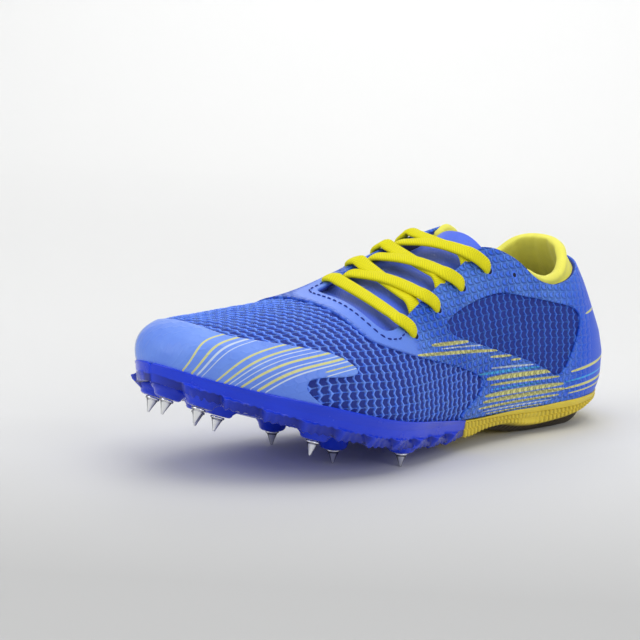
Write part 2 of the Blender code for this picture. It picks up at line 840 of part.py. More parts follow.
def laces():
    """A bar over the front of the throat, then three crossings joined in their middles."""
    def edge(station, side, inset):
        """A distance across, a little inside the edge of the throat."""
        reach = curve(THROAT, 1 if side > 0 else 2, station) * BALL_WIDTH
        return reach - side * inset

    def spot(index, side):
        """Station and distance across of an eyelet. side is 1 for lateral and -1 for medial."""
        row = EYELETS[index][:2] if side > 0 else EYELETS[index][2:]
        return row[0], row[1] * BALL_WIDTH

    def landing(index, side, before):
        """The two stops where a strand goes over the throat's edge and ends on its eyelet."""
        station, across = spot(index, side)
        turn = station + (before - station) * 0.15
        lift = LACE_THICKNESS / 2 + FILM + 3 * GAP
        return [(turn, edge(turn, side, LACE_MARGIN), lift), (station, across, lift)]

    def strand(index, side):
        """A strand from under one edge of the throat to the next eyelet on the other side."""
        start = spot(index, side)[0] - LACE_STEP / LENGTH
        return [(start, edge(start, side, LACE_INSET), 0.0)] + landing(index + 1, -side, start)
    ends = spot(0, 1)[0], spot(0, -1)[0]
    bar = landing(0, -1, ends[0])[::-1] + landing(0, 1, ends[1])
    place("lace_bar", strap("lace_bar", bar), "lace")
    for index in range(len(EYELETS) - 1):
        name = f"lace_cross_{index + 1}"
        piece = place(name, strap(name, strand(index, -1)), "lace")
        other = bpy.data.objects.new(f"under strand {index + 1}", strap("under", strand(index, 1)))
        CUTTERS.objects.link(other)
        other.hide_render = True
        other.display_type = "WIRE"
        combine(piece, other, "UNION")


for old in list(bpy.data.objects):
    bpy.data.objects.remove(old)
SHOE = collection("track spike shoe")
CUTTERS = collection("cutters")

openings = [collar_cutter(), throat_cutter()]
upper(openings)
toe_film()
quarter_film(openings)
collar_lining()
tongue()
insole()
spike_plate()
heel_sole()
pins()
laces()
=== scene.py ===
"""Looks of a left track spike shoe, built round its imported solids.

Metres, +Z up, toe along -Y, outer side of the foot +X. A station is a share of the last's
length, 0 at the heel. Sections follow the shoe in the order in which it is put together.
"""
import math

import bmesh
import bpy
import numpy as np
from mathutils import Matrix


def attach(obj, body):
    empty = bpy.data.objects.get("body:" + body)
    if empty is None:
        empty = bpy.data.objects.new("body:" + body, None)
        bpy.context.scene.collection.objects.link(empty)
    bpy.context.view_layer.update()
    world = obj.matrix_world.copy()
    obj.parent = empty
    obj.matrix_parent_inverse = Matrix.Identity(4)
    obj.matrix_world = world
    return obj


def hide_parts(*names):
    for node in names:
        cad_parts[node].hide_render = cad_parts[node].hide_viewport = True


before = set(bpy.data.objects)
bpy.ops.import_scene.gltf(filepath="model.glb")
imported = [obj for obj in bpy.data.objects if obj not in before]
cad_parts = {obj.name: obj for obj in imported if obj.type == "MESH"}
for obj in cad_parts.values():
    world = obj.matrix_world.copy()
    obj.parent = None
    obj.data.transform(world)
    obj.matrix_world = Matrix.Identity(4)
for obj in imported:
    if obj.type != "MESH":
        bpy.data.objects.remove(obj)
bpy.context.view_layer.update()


# Studio and camera
# A pale sweep of paper under soft boxes. The camera looks at the outer side from the front
# and a little above, slightly rolled, with a long lens, as in the photograph.
CAMERA_AZIMUTH = math.radians(43.28)
CAMERA_ELEVATION = math.radians(9.12)
CAMERA_ROLL = math.radians(3.02)
CAMERA_DISTANCE = 0.98
CAMERA_TARGET = np.array((0.0, -0.14502, 0.0611))
CAMERA_LENS = 124.44
SENSOR = 36.0
# Painted shade on the paper: its brightness falls off towards the camera.
PAPER_PAINTED_SHADE = (
    # distance behind the shoe, painted brightness
    (-0.32, 0.53),
    (-0.05, 0.785),
    (0.20, 0.825),
    (0.90, 0.865),
)
PAPER_SIZE = 6.0
PAPER_RISE = 2.4
PAPER_BEND = 0.9
PAPER_FLAT = 1.2
AIR_STRENGTH = 0.46
SOFTBOXES = (
    # name, place, aim, size, power
    ("overhead box", (0.1, -0.1, 1.5), (0, -0.1, 0), 1.6, 12.0),
    ("front box", (-0.5, -1.5, 0.9), (0, -0.1, 0.05), 1.0, 6.6),
    ("backdrop box", (-1.2, 1.2, 1.6), (-1.6, 1.9, 0.5), 1.0, 12),
    ("side box", (1.5, -0.3, 0.8), (0, -0.1, 0.05), 0.9, 5.6),
)


def camera_axes():
    """Right, up and backward directions of the camera, turned about its view by the roll."""
    back = np.array((math.sin(CAMERA_AZIMUTH) * math.cos(CAMERA_ELEVATION),
                     -math.cos(CAMERA_AZIMUTH) * math.cos(CAMERA_ELEVATION), math.sin(CAMERA_ELEVATION)))
    level = np.array((math.cos(CAMERA_AZIMUTH), math.sin(CAMERA_AZIMUTH), 0.0))
    rise = np.cross(back, level)
    right = math.cos(CAMERA_ROLL) * level + math.sin(CAMERA_ROLL) * rise
    up = math.cos(CAMERA_ROLL) * rise - math.sin(CAMERA_ROLL) * level
    return right, up, back


def add_camera():
    """The camera, CAMERA_DISTANCE behind its target against the view."""
    right, up, back = camera_axes()
    made = bpy.data.objects.new("camera", bpy.data.cameras.new("camera"))
    bpy.context.scene.collection.objects.link(made)
    pose = np.eye(4)
    pose[:3, 0] = right
    pose[:3, 1] = up
    pose[:3, 2] = back
    pose[:3, 3] = CAMERA_TARGET + CAMERA_DISTANCE * back
    made.matrix_world = Matrix(pose)
    made.data.lens = CAMERA_LENS
    made.data.sensor_width = SENSOR
    made.data.clip_start = 0.01
    bpy.context.scene.camera = made


def add_softbox(name, place, aim, size, power):
    """A square area light at a place, turned to face a point."""
    made = bpy.data.objects.new(name, bpy.data.lights.new(name, "AREA"))
    bpy.context.scene.collection.objects.link(made)
    made.data.size = size
    made.data.energy = power
    back = np.array(place, float) - np.array(aim, float)
    back /= np.linalg.norm(back)
    level = np.cross((0, 0, 1), back)
    level = level / np.linalg.norm(level) if np.linalg.norm(level) > 1e-6 else np.array((1.0, 0, 0))
    pose = np.eye(4)
    pose[:3, 0] = level
    pose[:3, 1] = np.cross(back, level)
    pose[:3, 2] = back
    pose[:3, 3] = place
    made.matrix_world = Matrix(pose)


def build_mesh(name, points, quads, values=None, merge=0.0):
    """A mesh from arrays of points and of four-cornered faces, with per-point values.

    points is n by 3, quads is m by 4, values maps an attribute's name to n numbers or n
    vectors. Points nearer than merge are joined, which closes poles and seams.
    """
    mesh = bpy.data.meshes.new(name)
    mesh.vertices.add(len(points))
    mesh.vertices.foreach_set("co", np.ascontiguousarray(points, np.float32).ravel())
    mesh.loops.add(quads.size)
    mesh.loops.foreach_set("vertex_index", np.ascontiguousarray(quads, np.int32).ravel())
    mesh.polygons.add(len(quads))
    mesh.polygons.foreach_set("loop_start", np.arange(len(quads), dtype=np.int32) * 4)
    mesh.polygons.foreach_set("use_smooth", np.ones(len(quads), bool))
    for key, data in (values or {}).items():
        kind = "FLOAT_VECTOR" if data.ndim == 2 else "FLOAT"
        layer = mesh.attributes.new(key, kind, "POINT")
        layer.data.foreach_set("vector" if data.ndim == 2 else "value",
                               np.ascontiguousarray(data, np.float32).ravel())
    mesh.update(calc_edges=True)
    mesh.validate()
    if merge:
        work = bmesh.new()
        work.from_mesh(mesh)
        bmesh.ops.remove_doubles(work, verts=work.verts, dist=merge)
        bmesh.ops.dissolve_degenerate(work, edges=work.edges, dist=merge / 2)
        work.to_mesh(mesh)
        work.free()
    made = bpy.data.objects.new(name, mesh)
    bpy.context.scene.collection.objects.link(made)
    return made


def close_mesh(made, caps=True):
    """Turns a mesh's faces outward, after capping its open ends where asked."""
    work = bmesh.new()
    work.from_mesh(made.data)
    if caps:
        bmesh.ops.holes_fill(work, edges=[edge for edge in work.edges if edge.is_boundary])
    bmesh.ops.recalc_face_normals(work, faces=work.faces)
    work.to_mesh(made.data)
    work.free()
    return made


def grid_quads(rows, columns, wrap_columns=False):
    """Corner numbers of the faces of a grid of rows by columns points."""
    number = np.arange(rows * columns).reshape(rows, columns)
    if wrap_columns:
        number = np.hstack([number, number[:, :1]])
    corners = (number[:-1, :-1], number[1:, :-1], number[1:, 1:], number[:-1, 1:])
    return np.stack([corner.ravel() for corner in corners], 1)


def paint(name):
    """A new material, its node tree and its shader."""
    made = bpy.data.materials.new(name)
    made.use_nodes = True
    return made, made.node_tree, made.node_tree.nodes["Principled BSDF"]


def add_paper():
    """A sweep of paper: a flat floor that bends up behind the shoe, as seen by the camera.

    Its tone is painted shade, darker towards the camera and lighter behind the shoe, running through the
    table above with the distance behind the shoe.
    """
    right, _, back = camera_axes()
    away = -np.array((back[0], back[1], 0.0)) / math.hypot(back[0], back[1])
    across = np.array((right[0], right[1], 0.0))
    steps = np.linspace(0, 1, 40)
    run = PAPER_BEND * np.sin(steps * math.pi / 2) + PAPER_FLAT
    run = np.concatenate([[-PAPER_SIZE / 2], run, [PAPER_FLAT + PAPER_BEND]])
    rise = np.concatenate([[0.0], PAPER_BEND * (1 - np.cos(steps * math.pi / 2)), [PAPER_RISE]])
    wide = np.array((-PAPER_SIZE / 2, PAPER_SIZE / 2))
    points = (run[:, None, None] * away + wide[None, :, None] * across
              + rise[:, None, None] * np.array((0, 0, 1.0)))
    paper = build_mesh("paper", points.reshape(-1, 3), grid_quads(len(run), 2)[:, ::-1])
    finish, tree, shader = paint("matt paper")
    distance = tree.nodes.new("ShaderNodeVectorMath")
    distance.operation = "DOT_PRODUCT"
    tree.links.new(tree.nodes.new("ShaderNodeTexCoord").outputs["Object"], distance.inputs[0])
    distance.inputs[1].default_value = away
    fade = tree.nodes.new("ShaderNodeMapRange")
    tree.links.new(distance.outputs["Value"], fade.inputs["Value"])
    fade.inputs["From Min"].default_value = PAPER_PAINTED_SHADE[0][0]
    fade.inputs["From Max"].default_value = PAPER_PAINTED_SHADE[-1][0]
    tones = tree.nodes.new("ShaderNodeValToRGB")
    tree.links.new(fade.outputs["Result"], tones.inputs[0])
    span = PAPER_PAINTED_SHADE[-1][0] - PAPER_PAINTED_SHADE[0][0]
    for number, (place, tone) in enumerate(PAPER_PAINTED_SHADE):
        share = (place - PAPER_PAINTED_SHADE[0][0]) / span
        stops = tones.color_ramp.elements
        inner = 0 < number < len(PAPER_PAINTED_SHADE) - 1
        stop = stops.new(share) if inner else stops[-1 if number else 0]
        stop.color = (tone, tone, tone * 0.99, 1)
    tree.links.new(tones.outputs["Color"], shader.inputs["Base Color"])
    shader.inputs["Roughness"].default_value = 0.85
    shader.inputs["Specular IOR Level"].default_value = 0.2
    paper.data.materials.append(finish)


add_camera()
add_paper()
for softbox in SOFTBOXES:
    add_softbox(*softbox)
world = bpy.data.worlds.new("studio air")
world.use_nodes = True
world.node_tree.nodes["Background"].inputs["Color"].default_value = (0.97, 0.98, 1.0, 1)
world.node_tree.nodes["Background"].inputs["Strength"].default_value = AIR_STRENGTH
bpy.context.scene.world = world
bpy.context.scene.view_settings.view_transform = "Standard"


# Last
# The hard form that the shoe is made on, with the same sections as the solids. Everything
# that lies on the foot is a sheet of this form, moved in or out and cut to its outline.
LENGTH = 0.280
BALL_WIDTH = 0.095
INSTEP_HEIGHT = 0.095
HEEL_STACK = 0.012
BALL_STACK = 0.0175
TOE_LIFT = 0.0305
HEEL_LEAN = 0.020
LEAN_REACH = 0.25
WIDE_LINE = 0.010
REST_STATION = 0.16
HEEL_ROUND = 0.16
TOE_ROUND = 0.20
TOE_SLOPE = 0.10
FEATHER_ANGLE = -25.0
FULLNESS = 2.25
TOE_FULLNESS = 2.2
LAST = (
    # station, centre, half width, ridge offset, ridge height
    (0.00, 0.000, 0.347, 0.000, 0.950),
    (0.12, 0.000, 0.342, 0.000, 0.960),
    (0.25, 0.000, 0.337, -0.005, 0.960),
    (0.35, 0.011, 0.337, -0.021, 0.918),
    (0.45, 0.026, 0.358, -0.042, 0.830),
    (0.55, 0.042, 0.416, -0.063, 0.712),
    (0.65, 0.047, 0.484, -0.074, 0.576),
    (0.72, 0.042, 0.500, -0.074, 0.500),
    (0.80, 0.016, 0.489, -0.063, 0.416),
    (0.88, -0.032, 0.456, -0.042, 0.326),
    (0.94, -0.063, 0.432, -0.021, 0.268),
    (1.00, -0.100, 0.411, 0.000, 0.232),
)
FEATHER = (
    # station, heel stack, ball stack, toe lift
    (0.00, 1.20, 0.00, 0.00),
    (0.15, 1.00, 0.00, 0.00),
    (0.30, 0.70, 0.25, 0.00),
    (0.45, 0.30, 0.62, 0.00),
    (0.60, 0.00, 1.00, 0.00),
    (0.70, 0.00, 1.00, 0.13),
    (0.80, 0.00, 1.00, 0.36),
    (0.90, 0.00, 1.00, 0.64),
    (1.00, 0.00, 1.00, 1.00),
)
LEAN = (
    # height, lean
    (0.00, 0.05),
    (0.10, -0.11),
    (0.22, -0.14),
    (0.33, 0.06),
    (0.44, 0.40),
    (0.59, 0.84),
    (0.71, 1.25),
    (1.00, 2.10),
)


def read_table(rows, column, at):
    """A smooth curve through a table's column: cubic pieces that share their slope at each row.

    The slope at a row is the mean of the slopes before and after it, where the nearer
    neighbour counts more.
    """
    xs = np.array([row[0] for row in rows])
    ys = np.array([row[column] for row in rows])
    at = np.clip(at, xs[0], xs[-1])
    gaps = np.diff(xs)
    steps = np.diff(ys) / gaps
    inner = (steps[:-1] * gaps[1:] + steps[1:] * gaps[:-1]) / (gaps[1:] + gaps[:-1])
    slopes = np.concatenate([steps[:1], inner, steps[-1:]])
    i = np.clip(np.searchsorted(xs, at, side="right") - 1, 0, len(gaps) - 1)
    u = (at - xs[i]) / gaps[i]
    rise = ease(u)
    return (ys[i] * (1 - rise) + ys[i + 1] * rise
            + gaps[i] * (slopes[i] * u * (1 - u) ** 2 - slopes[i + 1] * u * u * (1 - u)))


def read_straight(rows, at):
    """Straight lines through a table's first two columns."""
    return np.interp(at, [row[0] for row in rows], [row[1] for row in rows])


def ease(share):
    """A smooth step from 0 to 1: share squared times (3 - 2 share)."""
    return share * share * (3 - 2 * share)


def run_along(line):
    """The way run along a line of points, 0 at the first."""
    return np.concatenate([[0], np.cumsum(np.linalg.norm(np.diff(line, axis=0), axis=1))])


def blunted(wave, power):
    """A wave raised to a power that keeps its sign."""
    return np.sign(wave) * np.abs(wave) ** power


def along(station):
    """Y of a station."""
    return -(station - REST_STATION) * LENGTH


def station_of(y):
    """Station of a Y."""
    return REST_STATION - y / LENGTH


def feather(station):
    """Height of the feather edge above the floor: a blend of heel stack, ball stack and toe lift."""
    station = np.clip(station, 0, 1)
    return (read_table(FEATHER, 1, station) * HEEL_STACK + read_table(FEATHER, 2, station) * BALL_STACK
            + read_table(FEATHER, 3, station) * TOE_LIFT)


def half_width(station):
    """Half width of the last: the table's, times a quarter circle's height at heel and toe."""
    heel = np.clip(1 - station / HEEL_ROUND, 0, 1)
    toe = np.clip(1 - (1 - station) / TOE_ROUND, 0, 1)
    return read_table(LAST, 2, station) * BALL_WIDTH * np.sqrt(1 - heel ** 2) * np.sqrt(1 - toe ** 2)


def ridge_height(station):
    """Height of the ridge over the feather edge, rounded off at the toe by a superellipse."""
    slope = np.clip(1 - (1 - station) / TOE_SLOPE, 0, 1)
    rounding = np.clip(1 - slope ** TOE_FULLNESS, 0, 1) ** (1 / TOE_FULLNESS)
    return read_table(LAST, 4, station) * INSTEP_HEIGHT * rounding


def last_at_height(station, up, side):
    """Points of the last at heights above the feather edge, on the side 1 (outer) or -1 (inner).

    Above the widest line a section is a superellipse, so the reach outwards is
    (1 - rise ^ FULLNESS) ^ (1 / FULLNESS). Below it the side tucks in to the feather edge
    along a circle. Near the heel each height leans forward by the table.
    """
    height = ridge_height(station)
    drop = WIDE_LINE * np.minimum(1, height / (3 * WIDE_LINE))
    share = np.clip((up - drop) / np.maximum(height - drop, 1e-6), 0, 1)
    above = np.clip(1 - share ** FULLNESS, 0, 1) ** (1 / FULLNESS)
    tuck = np.clip((drop - up) / np.maximum(drop, 1e-6), 0, 1) * math.sin(math.radians(-FEATHER_ANGLE))
    below = (1 - tuck ** 2) ** (1 / FULLNESS)
    out = np.where(up >= drop, above, below)
    rise = up / np.maximum(height, 1e-6)
    x = (read_table(LAST, 1, station) + read_table(LAST, 3, station) * rise) * BALL_WIDTH
    fade = np.clip(1 - station / LEAN_REACH, 0, 1) ** 1.5
    lean = read_straight(LEAN, up / INSTEP_HEIGHT) * HEEL_LEAN * fade
    return np.stack([x + side * half_width(station) * out, along(station) - lean, feather(station) + up], -1)


def last_at_turn(station, turn):
    """Points of the last at an angle round its section: -25 outer edge, 90 ridge, 205 inner edge."""
    side = np.where(turn <= 90, 1.0, -1.0)
    angle = np.radians(np.minimum(turn, 180 - turn))
    height = ridge_height(station)
    drop = WIDE_LINE * np.minimum(1, height / (3 * WIDE_LINE))
    above = drop + (height - drop) * np.clip(np.sin(angle), 0, 1) ** (2 / FULLNESS)
    below = drop - drop * np.sin(np.minimum(angle, 0)) / math.sin(math.radians(FEATHER_ANGLE))
    return last_at_height(station, np.where(angle >= 0, above, below), side)


def spaced_stations(low, high, pitch):
    """Stations about a pitch apart along the form, closer where heel and toe turn round."""
    fine = np.linspace(0, 1, 4001)
    edge = np.stack([half_width(fine), fine * LENGTH], -1)
    way = run_along(edge)
    start, stop = np.interp((low, high), fine, way)
    count = int(round((stop - start) / pitch)) + 1
    return np.interp(np.linspace(start, stop, count), way, fine)


def spaced_turns(low, high, pitch, station=0.5):
    """Angles about a pitch apart round the section at a station."""
    fine = np.linspace(low, high, 2001)
    ring = last_at_turn(np.full_like(fine, station), fine)
    way = run_along(ring)
    count = int(round(way[-1] / pitch)) + 1
    return np.interp(np.linspace(0, way[-1], count), way, fine)


def grid_normals(points):
    """Unit normals of a grid of points: the cross product of its two directions' differences."""
    down = np.gradient(points, axis=0)
    across = np.gradient(points, axis=1)
    normal = np.cross(across, down)
    size = np.linalg.norm(normal, axis=-1, keepdims=True)
    return normal / np.maximum(size, 1e-12)


def last_sheet(low, high, first, final, pitch, station=0.5):
    """A grid on the last between two stations and two turns, its outward normals and its cloth map.

    The cloth map is how far each point lies along the shoe and round it from the ridge, in
    metres, so that a knit keeps its scale where the form narrows.
    """
    rows = spaced_stations(low, high, pitch)
    turns = spaced_turns(first, final, pitch, station)
    points = last_at_turn(rows[:, None], turns[None, :])
    normal = grid_normals(points)
    centre = np.array((0, 0, 1.0)) * feather(rows)[:, None] + np.array((0, 1.0, 0)) * along(rows)[:, None]
    outward = np.sign(np.sum(normal * (points - centre[:, None]), -1, keepdims=True).sum())
    normal = normal * outward
    whole = last_at_turn(rows[:, None], np.linspace(90, 205, 200)[None, :])
    other = last_at_turn(rows[:, None], np.linspace(90, -25, 200)[None, :])
    girth = np.zeros(points.shape[:2])
    for sign, ring, angles in ((-1, whole, np.linspace(90, 205, 200)), (1, other, np.linspace(90, -25, 200))):
        step = np.linalg.norm(np.diff(ring, axis=1), axis=-1)
        way = np.concatenate([np.zeros((len(rows), 1)), np.cumsum(step, 1)], 1)
        here = (turns > 90) if sign < 0 else (turns <= 90)
        order = np.argsort(angles)
        place = np.interp(turns[here], angles[order], np.arange(200)[order])
        low_index = np.clip(place.astype(int), 0, 198)
        part = place - low_index
        girth[:, here] = sign * (way[:, low_index] * (1 - part) + way[:, low_index + 1] * part)
    cloth = np.stack([-points[..., 1], girth, np.zeros_like(girth)], -1)
    return points, normal, cloth


def outline_distance(points, outline):
    """Signed distance of flat points to a closed outline: negative inside."""
    outline = np.asarray(outline, float)
    nearest = np.full(points.shape[:-1], np.inf)
    inside = np.zeros(points.shape[:-1], bool)
    for start, stop in zip(outline, np.roll(outline, -1, axis=0)):
        edge = stop - start
        share = np.clip(((points - start) @ edge) / max(edge @ edge, 1e-18), 0, 1)
        nearest = np.minimum(nearest, np.linalg.norm(points - start - share[..., None] * edge, axis=-1))
        crosses = (start[1] > points[..., 1]) != (stop[1] > points[..., 1])
        slope = np.where(abs(edge[1]) > 1e-12, edge[0] / (edge[1] if abs(edge[1]) > 1e-12 else 1.0), 0.0)
        inside ^= crosses & (points[..., 0] < start[0] + (points[..., 1] - start[1]) * slope)
    return np.where(inside, -nearest, nearest)


def round_corners(outline):
    """Cuts each corner of a closed outline at a quarter of its edges, twice over."""
    line = np.asarray(outline, float)
    for _ in range(2):
        after = np.roll(line, -1, axis=0)
        line = np.stack([line * 0.75 + after * 0.25, line * 0.25 + after * 0.75], 1).reshape(-1, 2)
    return line


def cut_sheet(points, field, carried):
    """Keeps the part of a grid where a field is negative, with its edge drawn on the field's zero.

    Points just outside are moved along the line to their innermost neighbour until the
    field, taken as straight between the two, is zero. Arrays in carried move alike.
    """
    rows, columns = field.shape
    keep = np.zeros((rows - 1, columns - 1), bool)
    for i in (0, 1):
        for j in (0, 1):
            keep |= field[i:rows - 1 + i, j:columns - 1 + j] < 0
    padded = np.pad(field, 1, constant_values=np.inf)
    best = np.full(field.shape, np.inf)
    best_row = np.zeros(field.shape, int)
    best_column = np.zeros(field.shape, int)
    for i in (-1, 0, 1):
        for j in (-1, 0, 1):
            near = padded[1 + i:rows + 1 + i, 1 + j:columns + 1 + j]
            better = near < best
            best = np.where(better, near, best)
            best_row = np.where(better, i, best_row)
            best_column = np.where(better, j, best_column)
    number = np.arange(rows * columns).reshape(rows, columns)
    other = np.clip(number + best_row * columns + best_column, 0, rows * columns - 1)
    move = (field > 0) & (best < 0)
    share = np.where(move, field / np.maximum(field - best, 1e-12), 0.0).ravel()[:, None]
    results = []
    for data in (points, *carried):
        flat = data.reshape(rows * columns, -1)
        moved = flat + (flat[other.ravel()] - flat) * share
        results.append(moved if data.ndim == 3 else moved[:, 0])
    quads = grid_quads(rows, columns)[keep.ravel()]
    used, quads = np.unique(quads, return_inverse=True)
    quads = quads.reshape(-1, 4)
    return [data[used] for data in results], quads


def facing(quads, points, normal):
    """Turns all faces round if they look against the normals that their points carry."""
    a, b, c, d = (points[quads[:, i]] for i in range(4))
    look = np.cross(c - a, d - b)
    against = np.sum(look * normal[quads[:, 0]]) < 0
    return quads[:, ::-1] if against else quads


# Upper wall
# The thin inner layer of the knit upper, open at the collar, at the throat and underneath.
# It is navy outside and along its edges, and carries the yellow lining round the heel.
COLLAR_RISE = 0.077
WALL = 0.0014
WALL_PITCH = 0.0014
SEAM = 0.00002
SINK = 0.0005
COLLAR = (
    # station, height
    (-0.06, 0.960),
    (0.02, 0.955),
    (0.07, 0.925),
    (0.12, 0.855),
    (0.17, 0.790),
    (0.21, 0.775),
    (0.25, 0.815),
    (0.29, 0.925),
    (0.33, 0.990),
    (0.37, 1.005),
)
COLLAR_INNER = (
    # station, height on the inner side
    (-0.06, 0.960),
    (0.02, 0.955),
    (0.07, 0.925),
    (0.12, 0.855),
    (0.17, 0.790),
    (0.21, 0.790),
    (0.25, 0.860),
    (0.29, 0.985),
    (0.33, 1.075),
    (0.37, 1.110),
)
THROAT = (
    # station, lateral edge, medial edge
    (0.33, 0.165, -0.150),
    (0.37, 0.178, -0.155),
    (0.41, 0.198, -0.152),
    (0.50, 0.250, -0.128),
    (0.58, 0.308, -0.098),
    (0.64, 0.365, -0.075),
)
THROAT_END = 0.676
CORNER = 0.5
NAVY = (0.012, 0.030, 0.25)
LINING_YELLOW = (0.95, 0.90, 0.12)
LINED_TO = (0.325, 0.30)


def throat_outline(margin=0.0):
    """The throat from above: straight-ish sides from the tables, and a front end that is a
    superellipse of exponent CORNER. margin moves the outline outwards."""
    picks = np.linspace(THROAT[0][0], THROAT[-1][0], 24)
    lateral = np.stack([read_table(THROAT, 1, picks) * BALL_WIDTH + margin, along(picks)], -1)
    medial = np.stack([read_table(THROAT, 2, picks) * BALL_WIDTH - margin, along(picks)], -1)[::-1]
    turn = np.linspace(0, math.pi, 26)[1:-1]
    middle = (lateral[-1, 0] + medial[0, 0]) / 2
    reach = (lateral[-1, 0] - medial[0, 0]) / 2
    bulge = along(THROAT_END) - along(THROAT[-1][0]) - margin
    front = np.stack([middle + reach * blunted(np.cos(turn), CORNER),
                      along(THROAT[-1][0]) + bulge * np.sin(turn) ** CORNER], -1)
    return np.vstack([lateral, front, medial])


def collar_height(station, x):
    """Height of the collar's edge over the feather edge. It is higher on the inner side, where
    x is negative, and changes over smoothly within 12 mm of the middle."""
    share = ease(np.clip(0.5 - x / 0.024, 0, 1))
    outer = read_table(COLLAR, 1, station)
    inner = read_table(COLLAR_INNER, 1, station)
    return (outer + (inner - outer) * share) * COLLAR_RISE


def opening_field(points):
    """Positive where the throat or the collar is cut away, in metres."""
    throat = -outline_distance(points[..., :2], throat_outline())
    station = station_of(points[..., 1])
    top = feather(station) + collar_height(station, points[..., 0])
    collar = np.minimum(points[..., 2] - top, (COLLAR[-1][0] - station) * LENGTH)
    return np.maximum(throat, collar)


def add_wall(made, thickness, inner_slot=0):
    """A Solidify wall that grows inwards; its inner face may take another material."""
    wall = made.modifiers.new("wall", "SOLIDIFY")
    wall.thickness = thickness
    wall.offset = -1
    wall.use_even_offset = True
    wall.use_quality_normals = True
    wall.material_offset = inner_slot


def mix_colours(tree, first, second, factor):
    """A colour mix node; first and second are colours or sockets, factor is a socket."""
    node = tree.nodes.new("ShaderNodeMix")
    node.data_type = "RGBA"
    for socket, value in ((node.inputs[6], first), (node.inputs[7], second)):
        if isinstance(value, bpy.types.NodeSocket):
            tree.links.new(value, socket)
        else:
            socket.default_value = (*value, 1)
    tree.links.new(factor, node.inputs[0])
    return node.outputs[2]


def object_place(tree):
    """A point's place in the piece's own axes."""
    return tree.nodes.new("ShaderNodeTexCoord").outputs["Object"]


def split(tree, vector):
    """The X, Y and Z outputs of a vector."""
    node = tree.nodes.new("ShaderNodeSeparateXYZ")
    tree.links.new(vector, node.inputs[0])
    return node.outputs


def compute(tree, operation, first, second=0.0, third=0.0, clamp=False):
    """A math node; its inputs are sockets or numbers."""
    node = tree.nodes.new("ShaderNodeMath")
    node.operation = operation
    node.use_clamp = clamp
    for socket, value in zip(node.inputs, (first, second, third)):
        if isinstance(value, bpy.types.NodeSocket):
            tree.links.new(value, socket)
        else:
            socket.default_value = value
    return node.outputs[0]


def ramp_between(tree, value, low, high):
    """Maps a value smoothly from 0 at low to 1 at high."""
    node = tree.nodes.new("ShaderNodeMapRange")
    node.interpolation_type = "SMOOTHSTEP"
    tree.links.new(value, node.inputs["Value"])
    node.inputs["From Min"].default_value = low
    node.inputs["From Max"].default_value = high
    return node.outputs["Result"]


def attribute(tree, name):
    """A node that reads a value stored on the mesh."""
    node = tree.nodes.new("ShaderNodeAttribute")
    node.attribute_name = name
    return node


def noise(tree, scale, detail=3.0, vector=None, roughness=0.5):
    """A noise on Object coordinates, or on a given vector."""
    node = tree.nodes.new("ShaderNodeTexNoise")
    node.inputs["Scale"].default_value = scale
    node.inputs["Detail"].default_value = detail
    node.inputs["Roughness"].default_value = roughness
    if vector is None:
        vector = object_place(tree)
    tree.links.new(vector, node.inputs["Vector"])
    return node.outputs["Fac"]


def shaded(colour, factor):
    """A colour times a factor."""
    return tuple(part * factor for part in colour)


def cloudy(tree, colour, dark, light, scale, detail=3.0):
    """A colour that a noise varies between dark times and light times itself."""
    return mix_colours(tree, shaded(colour, dark), shaded(colour, light), noise(tree, scale, detail))


def bump(tree, shader, height, distance, strength=1.0, before=None):
    """Feeds a height to the shader's normal, on top of a bump that is there already."""
    node = tree.nodes.new("ShaderNodeBump")
    node.inputs["Strength"].default_value = strength
    node.inputs["Distance"].default_value = distance
    tree.links.new(height, node.inputs["Height"])
    if before is not None:
        tree.links.new(before, node.inputs["Normal"])
    tree.links.new(node.outputs["Normal"], shader.inputs["Normal"])
    return node.outputs["Normal"]


def weave_group():
    """Node group: a plain weave of threads over and under, from two sine waves.

    Its height is highest where a thread lies on top. Tone darkens the gaps between threads.
    """
    group = bpy.data.node_groups.new("Thread weave", "ShaderNodeTree")
    face = group.interface
    face.new_socket(name="Vector", in_out="INPUT", socket_type="NodeSocketVector")
    face.new_socket(name="Threads per metre", in_out="INPUT", socket_type="NodeSocketFloat")
    face.new_socket(name="Height", in_out="OUTPUT", socket_type="NodeSocketFloat")
    source = group.nodes.new("NodeGroupInput")
    sink = group.nodes.new("NodeGroupOutput")
    parts = split(group, source.outputs["Vector"])
    waves = []
    for axis in (0, 1):
        turns = compute(group, "MULTIPLY", parts[axis], source.outputs["Threads per metre"])
        waves.append(compute(group, "SINE", compute(group, "MULTIPLY", turns, math.pi)))
    product = compute(group, "MULTIPLY", waves[0], waves[1])
    ridges = compute(group, "ADD", compute(group, "MULTIPLY", product, 0.5), 0.5)
    group.links.new(ridges, sink.inputs["Height"])
    return group


WEAVE = weave_group()


def weave(tree, vector, threads):
    """The weave's height on a vector, with threads for each metre."""
    node = tree.nodes.new("ShaderNodeGroup")
    node.node_tree = WEAVE
    tree.links.new(vector, node.inputs["Vector"])
    node.inputs["Threads per metre"].default_value = threads
    return node.outputs["Height"]


def navy_cloth():
    """Navy backing cloth: fine weave, matt, slightly uneven in tone."""
    finish, tree, shader = paint("navy cloth")
    tree.links.new(cloudy(tree, NAVY, 0.8, 1.3, 120), shader.inputs["Base Color"])
    shader.inputs["Roughness"].default_value = 0.85
    bump(tree, shader, weave(tree, object_place(tree), 1800), 0.0002, 0.5)
    return finish


